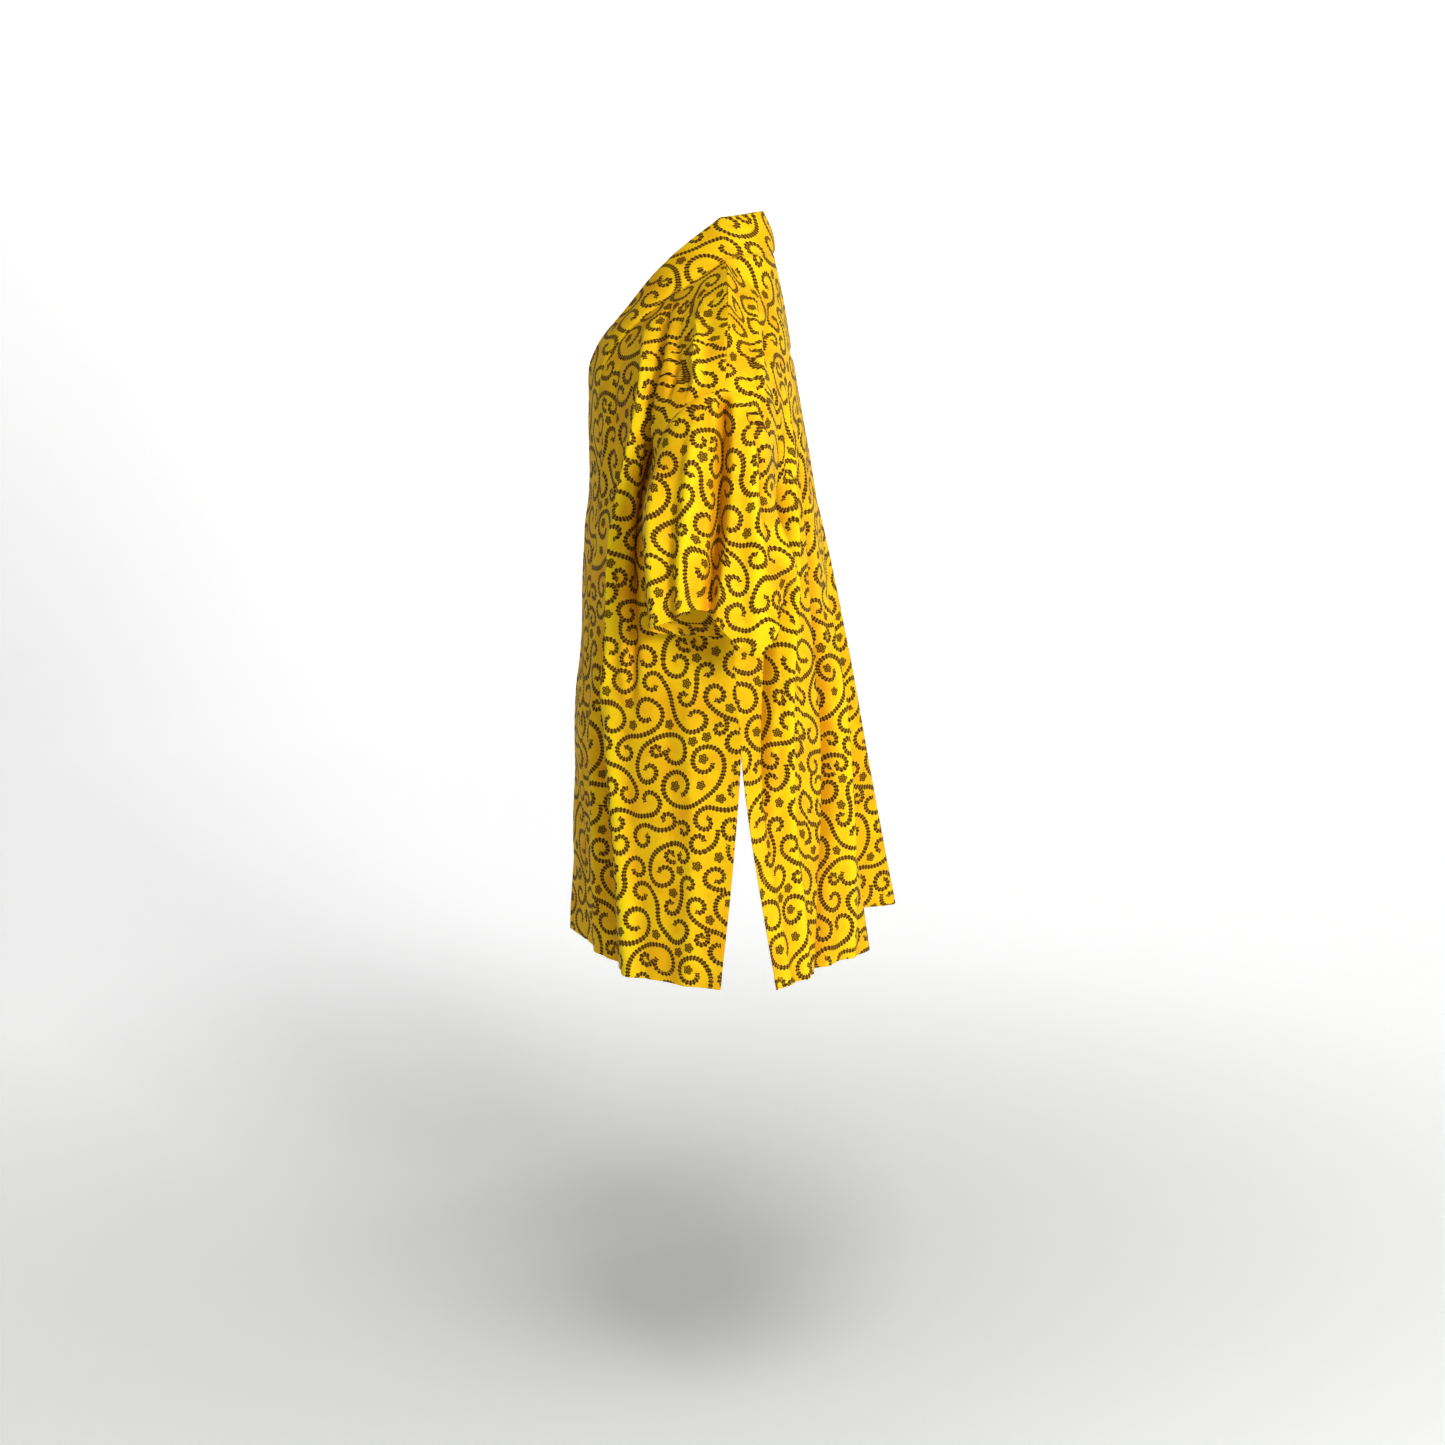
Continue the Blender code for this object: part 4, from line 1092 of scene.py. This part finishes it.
# ---- the printed cotton -----------------------------------------------------
class Graph:
    """Short calls that add shader nodes."""

    def __init__(self, tree):
        self.tree = tree

    def put(self, node, index, value):
        if isinstance(value, bpy.types.NodeSocket):
            self.tree.links.new(value, node.inputs[index])
        elif value is not None:
            node.inputs[index].default_value = value

    def math(self, operation, *values, clamp=False):
        node = self.tree.nodes.new("ShaderNodeMath")
        node.operation = operation
        node.use_clamp = clamp
        for i, value in enumerate(values):
            self.put(node, i, value)
        return node.outputs[0]

    def call(self, tree, *values):
        node = self.tree.nodes.new("ShaderNodeGroup")
        node.node_tree = tree
        for i, value in enumerate(values):
            self.put(node, i, value)
        return list(node.outputs)

    def vector(self, operation, *values):
        node = self.tree.nodes.new("ShaderNodeVectorMath")
        node.operation = operation
        for i, value in enumerate(values):
            if operation == "SCALE" and i == 1:
                i = 3
            self.put(node, i, value)
        return node.outputs["Value" if operation in ("LENGTH", "DISTANCE", "DOT_PRODUCT") else "Vector"]

    def split(self, value):
        node = self.tree.nodes.new("ShaderNodeSeparateXYZ")
        self.put(node, 0, value)
        return node.outputs

    def mix(self, kind, factor, a, b):
        node = self.tree.nodes.new("ShaderNodeMix")
        node.data_type = kind
        ends = {"FLOAT": (0, 2, 3, 0), "VECTOR": (0, 4, 5, 1), "RGBA": (0, 6, 7, 2)}[kind]
        for index, value in zip(ends, (factor, a, b)):
            self.put(node, index, value)
        return node.outputs[ends[3]]

    def ramp(self, value, low, high):
        """0 at low to 1 at high, smooth. High may lie below low."""
        node = self.tree.nodes.new("ShaderNodeMapRange")
        node.interpolation_type = "SMOOTHSTEP"
        for i, v in enumerate((value, low, high, 0.0, 1.0)):
            self.put(node, i, v)
        return node.outputs[0]

    def noise(self, at, scale, detail=2.0, rough=0.5, colour=False):
        node = self.tree.nodes.new("ShaderNodeTexNoise")
        self.put(node, "Vector", at)
        node.inputs["Scale"].default_value = scale
        node.inputs["Detail"].default_value = detail
        node.inputs["Roughness"].default_value = rough
        return node.outputs["Color" if colour else "Fac"]


def scroll_half(x, y, heading, lead, turn, side, outer, inner, sweep):
    """One half of a stroke: a lead arc, then a curl that winds inward. Returns
    both as (kind, centre x, centre y, ...) in mm and radians."""
    turn, sweep = math.radians(turn), math.radians(sweep)
    if side > 0:
        nx, ny = -math.sin(heading), math.cos(heading)
    else:
        nx, ny = math.sin(heading), -math.cos(heading)
    cx, cy = x + lead * nx, y + lead * ny
    a = math.atan2(y - cy, x - cx)
    b = a + side * turn
    arc = ("arc", cx, cy, lead, (a if side > 0 else b) % (2 * math.pi), turn)
    x, y = cx + lead * math.cos(b), cy + lead * math.sin(b)
    heading += side * turn
    k = (outer - inner) / sweep
    start = heading - side * (math.pi / 2 + math.atan(k / outer))
    cx, cy = x - outer * math.cos(start), y - outer * math.sin(start)
    curl = ("curl", cx, cy, inner, k, start + side * sweep, side, sweep)
    return [arc, curl]


def scrolls():
    out = []
    for row in STROKES:
        x, y, heading = row[0], row[1], math.radians(row[2])
        out += scroll_half(x, y, heading, *row[3:9])
        out += scroll_half(x, y, heading + math.pi, *row[9:15])
    for row in SPRIGS:
        out += scroll_half(row[0], row[1], math.radians(row[2]), *row[3:9])
    return out


def group(name, inputs, outputs, build):
    """A node group of plain numbers, from a function that adds its nodes."""
    tree = bpy.data.node_groups.new(name, "ShaderNodeTree")
    for label in inputs:
        tree.interface.new_socket(label, in_out="INPUT", socket_type="NodeSocketFloat")
    for label in outputs:
        tree.interface.new_socket(label, in_out="OUTPUT", socket_type="NodeSocketFloat")
    source = tree.nodes.new("NodeGroupInput")
    g = Graph(tree)
    results = build(g, *[source.outputs[i] for i in range(len(inputs))])
    sink = tree.nodes.new("NodeGroupOutput")
    for i, value in enumerate(results):
        tree.links.new(value, sink.inputs[i])
    return tree


def offset_from(g, x, y, cx, cy):
    """Where a point lies from a centre, in the nearest copy of the repeat."""
    dx = g.math("WRAP", g.math("SUBTRACT", x, cx), WIDE / 2, -WIDE / 2)
    dy = g.math("WRAP", g.math("SUBTRACT", y, cy), HIGH / 2, -HIGH / 2)
    return dx, dy, g.math("MULTIPLY_ADD", dx, dx, g.math("MULTIPLY", dy, dy))


def keep_nearest(g, d, s, near, along):
    nearer = g.math("LESS_THAN", d, near)
    along = g.mix("FLOAT", nearer, along, s)
    return g.math("MINIMUM", near, d), along


def arc_nodes(g, x, y, cx, cy, radius, first, sweep, near, along):
    dx, dy, rho = offset_from(g, x, y, cx, cy)
    rho = g.math("SQRT", rho)
    t = g.math("SUBTRACT", g.math("ARCTAN2", dy, dx), first)
    t = g.math("WRAP", t, 2 * math.pi, 0.0)
    d = g.math("ABSOLUTE", g.math("SUBTRACT", rho, radius))
    beyond = g.math("GREATER_THAN", t, sweep)
    d = g.math("MULTIPLY_ADD", beyond, 60.0, d)
    return keep_nearest(g, d, g.math("MULTIPLY", t, radius), near, along)


def curl_nodes(g, x, y, cx, cy, inner, pitch, last, side, sweep, near, along):
    dx, dy, rho = offset_from(g, x, y, cx, cy)
    rho = g.math("SQRT", rho)
    t = g.math("MULTIPLY", g.math("ARCTAN2", dy, dx), side)
    t = g.math("WRAP", g.math("SUBTRACT", last, t), 2 * math.pi, 0.0)
    d = g.math("SUBTRACT", rho, g.math("MULTIPLY", t, pitch))
    d = g.math("ABSOLUTE", g.math("SUBTRACT", d, inner))
    beyond = g.math("GREATER_THAN", t, sweep)
    d = g.math("MULTIPLY_ADD", beyond, 60.0, d)
    s = g.math("MULTIPLY_ADD", t, g.math("MULTIPLY", pitch, 0.5), inner)
    return keep_nearest(g, d, g.math("MULTIPLY", s, t), near, along)


def flower_nodes(g, x, y, cx, cy, near, px, py):
    dx, dy, d = offset_from(g, x, y, cx, cy)
    nearer = g.math("LESS_THAN", d, near)
    px = g.mix("FLOAT", nearer, px, dx)
    py = g.mix("FLOAT", nearer, py, dy)
    return g.math("MINIMUM", near, d), px, py


def stroke_field(g, x, y):
    """Distance from the nearest stroke's middle line, and the way along it."""
    spot = ["x", "y", "centre x", "centre y"]
    kept = ["near", "along"]
    arc = group("stroke arc", spot + ["radius", "first", "sweep"] + kept, kept, arc_nodes)
    curl = group("stroke curl", spot + ["inner", "pitch", "last", "side", "sweep"] + kept, kept, curl_nodes)
    near, along = 60.0, 0.0
    for piece in scrolls():
        if piece[0] == "arc":
            near, along = g.call(arc, x, y, *piece[1:], near, along)
        else:
            cx, cy, inner, pitch, last, side, sweep = piece[1:]
            near, along = g.call(curl, x, y, cx, cy, inner, pitch, side * last, float(side), sweep, near, along)
    return near, along


def rosette_field(g, x, y):
    """The place in the nearest rosette, from its middle."""
    kept = ["near", "px", "py"]
    flower = group("rosette", ["x", "y", "centre x", "centre y"] + kept, kept, flower_nodes)
    near, px, py = 3600.0, 0.0, 0.0
    for cx, cy in ROSETTES:
        near, px, py = g.call(flower, x, y, cx, cy, near, px, py)
    return g.math("SQRT", near), px, py


def printed_cotton():
    material = bpy.data.materials.new("printed_cotton")
    material.use_nodes = True
    tree = material.node_tree
    tree.nodes.clear()
    g = Graph(tree)
    spot = tree.nodes.new("ShaderNodeUVMap")
    spot.uv_map = "ClothFlat"
    flat = g.vector("SCALE", spot.outputs[0], 1000.0)  # mm
    # the drawing wanders a little, as a hand-cut block does
    sway = g.noise(flat, 0.019, 1.0, 0.5, True)
    sway = g.vector("SUBTRACT", sway, (0.5, 0.5, 0.5))
    at = g.vector("ADD", flat, g.vector("MULTIPLY", sway, (9.0, 9.0, 0.0)))
    fray = g.noise(flat, 0.55, 2.0, 0.6)
    across, up, _ = g.split(at)
    near, along = stroke_field(g, across, up)
    rung = g.math("COSINE", g.math("MULTIPLY", along, 2 * math.pi / 4.6))
    # a chain stroke: two dark rails, rungs across, and a pale bead between
    edge = g.math("MULTIPLY_ADD", rung, 0.95, 2.60)
    edge = g.math("MULTIPLY_ADD", fray, 0.6, edge)
    ink = g.ramp(g.math("SUBTRACT", near, edge), 0.30, -0.30)
    bead = g.ramp(near, 1.55, 0.75)
    bead = g.math("MULTIPLY", bead, g.ramp(rung, 0.25, -0.55))
    # rosettes of five little rings
    flower, px, py = rosette_field(g, across, up)
    turn = g.math("ARCTAN2", py, px)
    fifth = g.math("WRAP", turn, math.pi / 5, -math.pi / 5)
    px = g.math("MULTIPLY_ADD", flower, g.math("COSINE", fifth), -4.1)
    py = g.math("MULTIPLY", flower, g.math("SINE", fifth))
    ring = g.math("SQRT", g.math("ADD", g.math("MULTIPLY", px, px), g.math("MULTIPLY", py, py)))
    ring = g.math("ABSOLUTE", g.math("SUBTRACT", ring, 1.6))
    ring = g.math("MULTIPLY_ADD", fray, -0.5, ring)
    petal = g.ramp(ring, 1.02, 0.60)
    heart = g.ramp(flower, 1.7, 1.2)
    petal = g.math("MAXIMUM", petal, heart)
    mark = g.math("MAXIMUM", ink, g.math("MULTIPLY", petal, 0.92))
    # the ground: golden yellow with deeper clouds, paler beside the strokes
    cloud = g.ramp(g.noise(flat, 0.021, 3.0, 0.55), 0.38, 0.66)
    deep = g.ramp(near, 7.0, 14.0)
    cloud = g.math("MAXIMUM", cloud, g.math("MULTIPLY", deep, 0.55))
    ground = g.mix("RGBA", g.math("MULTIPLY", cloud, 0.75), (0.785, 0.510, 0.005, 1.0), (0.73, 0.355, 0.004, 1.0))
    # painted highlight paler on the crests of the folds, and painted shade deeper orange in the troughs
    held = tree.nodes.new("ShaderNodeAttribute")
    held.attribute_name = "stitch_line_and_painted_fold_shade"
    off, by, fold_height_for_painted_shade = g.split(held.outputs["Vector"])
    # painted shade: deeper orange in the folds' troughs
    ground = g.mix("RGBA", g.math("MULTIPLY", g.ramp(fold_height_for_painted_shade, 2.0, -15.0), 0.72), ground, (0.67, 0.285, 0.004, 1.0))
    # painted highlight: paler lemon yellow on the folds' crests
    ground = g.mix("RGBA", g.math("MULTIPLY", g.ramp(fold_height_for_painted_shade, 1.0, 11.0), 0.75), ground, (0.80, 0.600, 0.006, 1.0))
    mottle = g.ramp(g.noise(flat, 0.26, 3.0, 0.65), 0.35, 0.75)
    halo = g.math("MULTIPLY", g.ramp(near, 6.6, 2.9), g.math("MULTIPLY_ADD", mottle, 0.5, 0.12))
    ground = g.mix("RGBA", halo, ground, (0.73, 0.535, 0.03, 1.0))
    # fine cracks of the wax
    cell = tree.nodes.new("ShaderNodeTexVoronoi")
    cell.feature = "DISTANCE_TO_EDGE"
    g.put(cell, "Vector", at)
    cell.inputs["Scale"].default_value = 0.085
    crack = g.ramp(cell.outputs["Distance"], 0.030, 0.006)
    crack = g.math("MULTIPLY", crack, g.ramp(mottle, 0.45, 1.0))
    ground = g.mix("RGBA", g.math("MULTIPLY", crack, 0.30), ground, (0.50, 0.30, 0.03, 1.0))
    uneven = g.math("MULTIPLY_ADD", mottle, 0.07, 0.93)
    mark = g.math("MULTIPLY", mark, uneven)
    tone = g.mix("RGBA", g.math("MULTIPLY", bead, 0.80), (0.038, 0.011, 0.0008, 1.0), (0.44, 0.205, 0.006, 1.0))
    colour = g.mix("RGBA", mark, ground, tone)
    # stitches: short threads along the hems and the band's seam
    dash = g.math("WRAP", by, 0.0027, 0.0)
    thread = g.math(
        "MULTIPLY", g.math("LESS_THAN", dash, 0.0020), g.ramp(g.math("ABSOLUTE", off), 0.00036, 0.00024)
    )
    colour = g.mix("RGBA", thread, colour, (0.80, 0.50, 0.02, 1.0))
    rough = g.math("MULTIPLY_ADD", mark, -0.06, 0.66)
    rough = g.math("MULTIPLY_ADD", mottle, 0.07, rough)
    # height: plain weave, threads, puckers beside the stitches, slight slubs
    u, v, _ = g.split(flat)
    weave_u = g.math("SINE", g.math("MULTIPLY", u, 2 * math.pi / 0.62))
    weave_v = g.math("SINE", g.math("MULTIPLY", v, 2 * math.pi / 0.58))
    weave = g.math("MULTIPLY", weave_u, weave_v)
    height = g.math("MULTIPLY", weave, 0.018)
    slub = g.noise(g.vector("MULTIPLY", flat, (0.25, 1.6, 1.0)), 0.9, 2.0, 0.6)
    height = g.math("MULTIPLY_ADD", slub, 0.05, height)
    soft = g.noise(flat, 0.075, 3.0, 0.55)
    height = g.math("MULTIPLY_ADD", soft, 1.1, height)
    pucker = g.math("SINE", g.math("MULTIPLY", by, 2 * math.pi / 0.0085))
    beside = g.ramp(g.math("ABSOLUTE", off), 0.0060, 0.0002)
    height = g.math("MULTIPLY_ADD", g.math("MULTIPLY", pucker, beside), 0.10, height)
    groove = g.ramp(g.math("ABSOLUTE", off), 0.0012, 0.0003)
    height = g.math("MULTIPLY_ADD", groove, -0.16, height)
    height = g.math("MULTIPLY_ADD", thread, 0.12, height)
    bumps = tree.nodes.new("ShaderNodeBump")
    bumps.inputs["Strength"].default_value = 0.55
    bumps.inputs["Distance"].default_value = 0.001
    g.put(bumps, "Height", height)
    shader = tree.nodes.new("ShaderNodeBsdfPrincipled")
    g.put(shader, "Base Color", colour)
    g.put(shader, "Roughness", rough)
    g.put(shader, "Normal", bumps.outputs[0])
    shader.inputs["Specular IOR Level"].default_value = 0.10
    shader.inputs["Sheen Weight"].default_value = 0.04
    shader.inputs["Sheen Roughness"].default_value = 0.45
    shader.inputs["Sheen Tint"].default_value = (1.0, 0.86, 0.45, 1.0)
    out = tree.nodes.new("ShaderNodeOutputMaterial")
    tree.links.new(shader.outputs[0], out.inputs["Surface"])
    return material


# ---- the jacket -------------------------------------------------------------
left = front_surface(FRONT_LEFT, FRONT_CORNER_LIFT[0], 1)
right = front_surface(FRONT_RIGHT, FRONT_CORNER_LIFT[1], -1)
surfaces = {
    # piece: middle surface, closed round, side that faces out
    "back_panel": (back_surface(), False, 1),
    "front_left": (left, False, 1),
    "front_right": (right, False, -1),
    "sleeve_left": (sleeve_surface(1), True, 1),
    "sleeve_right": (sleeve_surface(-1), True, -1),
    "neckband": (band_surface(left, right), False, -1),
}
shared = seam_facing(surfaces)
back_cols = np.concatenate((BACK_HALF / 2, 1 - BACK_HALF[-2::-1] / 2))
made = {
    "back_panel": panel(
        "kimono_back", surfaces["back_panel"][0], 1, shared, ("vent", "vent"),
        back_cols, FOLDS["back_panel"], 11, len(BACK_HALF) - 1, (0.031, 0.012),
    ),
    "front_left": panel(
        "kimono_front_left", left, 1, shared, ("seam", "vent"),
        FRONT_COLS, FOLDS["front_left"], 21, 0, (0.113, 0.095),
    ),
    "front_right": panel(
        "kimono_front_right", right, -1, shared, ("seam", "vent"),
        FRONT_COLS, FOLDS["front_right"], 31, 0, (0.047, 0.171),
    ),
    "sleeve_left": sleeve_object(
        "kimono_sleeve_left",
        sleeve("kimono_sleeve_left", surfaces["sleeve_left"][0], 1, shared, FOLDS["sleeve_left"], 41, (0.090, 0.520)),
    ),
    "sleeve_right": sleeve_object(
        "kimono_sleeve_right",
        sleeve("kimono_sleeve_right", surfaces["sleeve_right"][0], -1, shared, FOLDS["sleeve_right"], 51, (0.020, 0.610)),
    ),
    "neckband": neckband(
        "kimono_neckband", surfaces["neckband"][0], -1, shared, FOLDS["neckband"], 61, (0.058, 0.030)
    ),
}
cotton = printed_cotton()
for node, piece in made.items():
    piece.data.materials.append(cotton)
    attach(piece, "root")
    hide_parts(node)

# ---- floor, light and camera ------------------------------------------------
def pale_studio():
    """One plain pale colour. The floor and its wall glow with painted light of
    their own, not a lamp: least at the floor's middle, weaker on the side the
    jacket's front faces, and most on the side behind the jacket, like a lit backdrop."""
    material = bpy.data.materials.new("pale_studio")
    material.use_nodes = True
    g = Graph(material.node_tree)
    shader = material.node_tree.nodes["Principled BSDF"]
    where = material.node_tree.nodes.new("ShaderNodeTexCoord")
    cloudy = g.noise(where.outputs["Object"], 1.3, 3.0, 0.5)
    tone = g.mix("RGBA", cloudy, (0.85, 0.85, 0.85, 1.0), (0.87, 0.87, 0.87, 1.0))
    g.put(shader, "Base Color", tone)
    shader.inputs["Roughness"].default_value = 0.8
    shader.inputs["Specular IOR Level"].default_value = 0.2
    x, y, _ = g.split(where.outputs["Object"])
    out = g.math("SQRT", g.math("MULTIPLY_ADD", x, x, g.math("MULTIPLY", y, y)))
    shader.inputs["Emission Color"].default_value = (1.0, 1.0, 1.0, 1.0)
    # painted glow, not a lamp: stronger behind the jacket, weaker towards -Y and at the floor's middle
    glow = g.math("MULTIPLY_ADD", g.ramp(x, 1.0, -3.0), 0.28, 0.27)
    glow = g.math("MULTIPLY", glow, g.math("MULTIPLY_ADD", g.ramp(y, -3.2, -0.6), 0.30, 0.70))
    g.put(shader, "Emission Strength", g.math("MULTIPLY", g.ramp(out, -0.2, 2.2), glow))
    return material


FLOOR_Z = -1.5


def studio_floor():
    """A round pale floor whose rim sweeps up into a low wall."""
    flat, bend, top = 4.2, 1.9, 1.7
    line = [(0.0, FLOOR_Z), (flat, FLOOR_Z)]
    for k in range(1, 13):
        a = k / 12 * math.pi / 2
        line.append((flat + bend * math.sin(a), FLOOR_Z + bend * (1 - math.cos(a))))
    line.append((flat + bend, top))
    around = 72
    verts, faces = [(0.0, 0.0, FLOOR_Z)], []
    for r, z in line[1:]:
        for k in range(around):
            a = 2 * math.pi * k / around
            verts.append((r * math.cos(a), r * math.sin(a), z))
    for k in range(around):
        faces.append((0, 1 + k, 1 + (k + 1) % around))
    for row in range(len(line) - 2):
        for k in range(around):
            a, b = 1 + row * around + k, 1 + row * around + (k + 1) % around
            faces.append((a, a + around, b + around, b))
    mesh = bpy.data.meshes.new("studio_floor")
    mesh.from_pydata(verts, [], faces)
    mesh.shade_smooth()
    mesh.materials.append(pale_studio())
    item = bpy.data.objects.new("studio_floor", mesh)
    bpy.context.scene.collection.objects.link(item)


studio_floor()


def lamp(name, where, aim, size, power, colour=(1, 1, 1)):
    data = bpy.data.lights.new(name, "AREA")
    data.shape = "RECTANGLE"
    data.size, data.size_y = size
    data.energy = power
    data.color = colour
    item = bpy.data.objects.new(name, data)
    item.location = where
    way = np.array(aim, float) - np.array(where, float)
    way /= np.linalg.norm(way)
    item.rotation_euler = (
        math.acos(-way[2]),
        0.0,
        math.atan2(way[1], way[0]) - math.pi / 2,
    )
    item.visible_camera = False
    bpy.context.scene.collection.objects.link(item)
    return item


lamp("key", (3.4, 1.85, 0.85), (0.0, 0.0, -0.45), (1.0, 1.0), 130.0, (0.97, 1.0, 0.96))
lamp("top", (1.3, 0.4, 3.1), (0.0, 0.0, -0.4), (1.6, 1.6), 62.0)

world = bpy.data.worlds.new("studio")
world.use_nodes = True
world.node_tree.nodes["Background"].inputs[0].default_value = (1.0, 1.0, 1.0, 1.0)
world.node_tree.nodes["Background"].inputs[1].default_value = 0.04
bpy.context.scene.world = world
bpy.context.scene.view_settings.view_transform = "Standard"
bpy.context.scene.view_settings.gamma = 0.88

CAMERA_FOCAL = 2432.0  # pixels, in the photograph's frame of 1445 x 1445
CAMERA_DOWN = 12.07  # degrees below the horizon
lens = bpy.data.cameras.new("camera")
lens.sensor_width = 36.0
lens.lens = CAMERA_FOCAL / 1445 * 36.0
lens.clip_start, lens.clip_end = 0.05, 100.0
camera = bpy.data.objects.new("camera", lens)
camera.location = (3.25, 0.0, 0.095)
camera.rotation_euler = (math.radians(90 - CAMERA_DOWN), 0.0, math.radians(90))
bpy.context.scene.collection.objects.link(camera)
bpy.context.scene.camera = camera
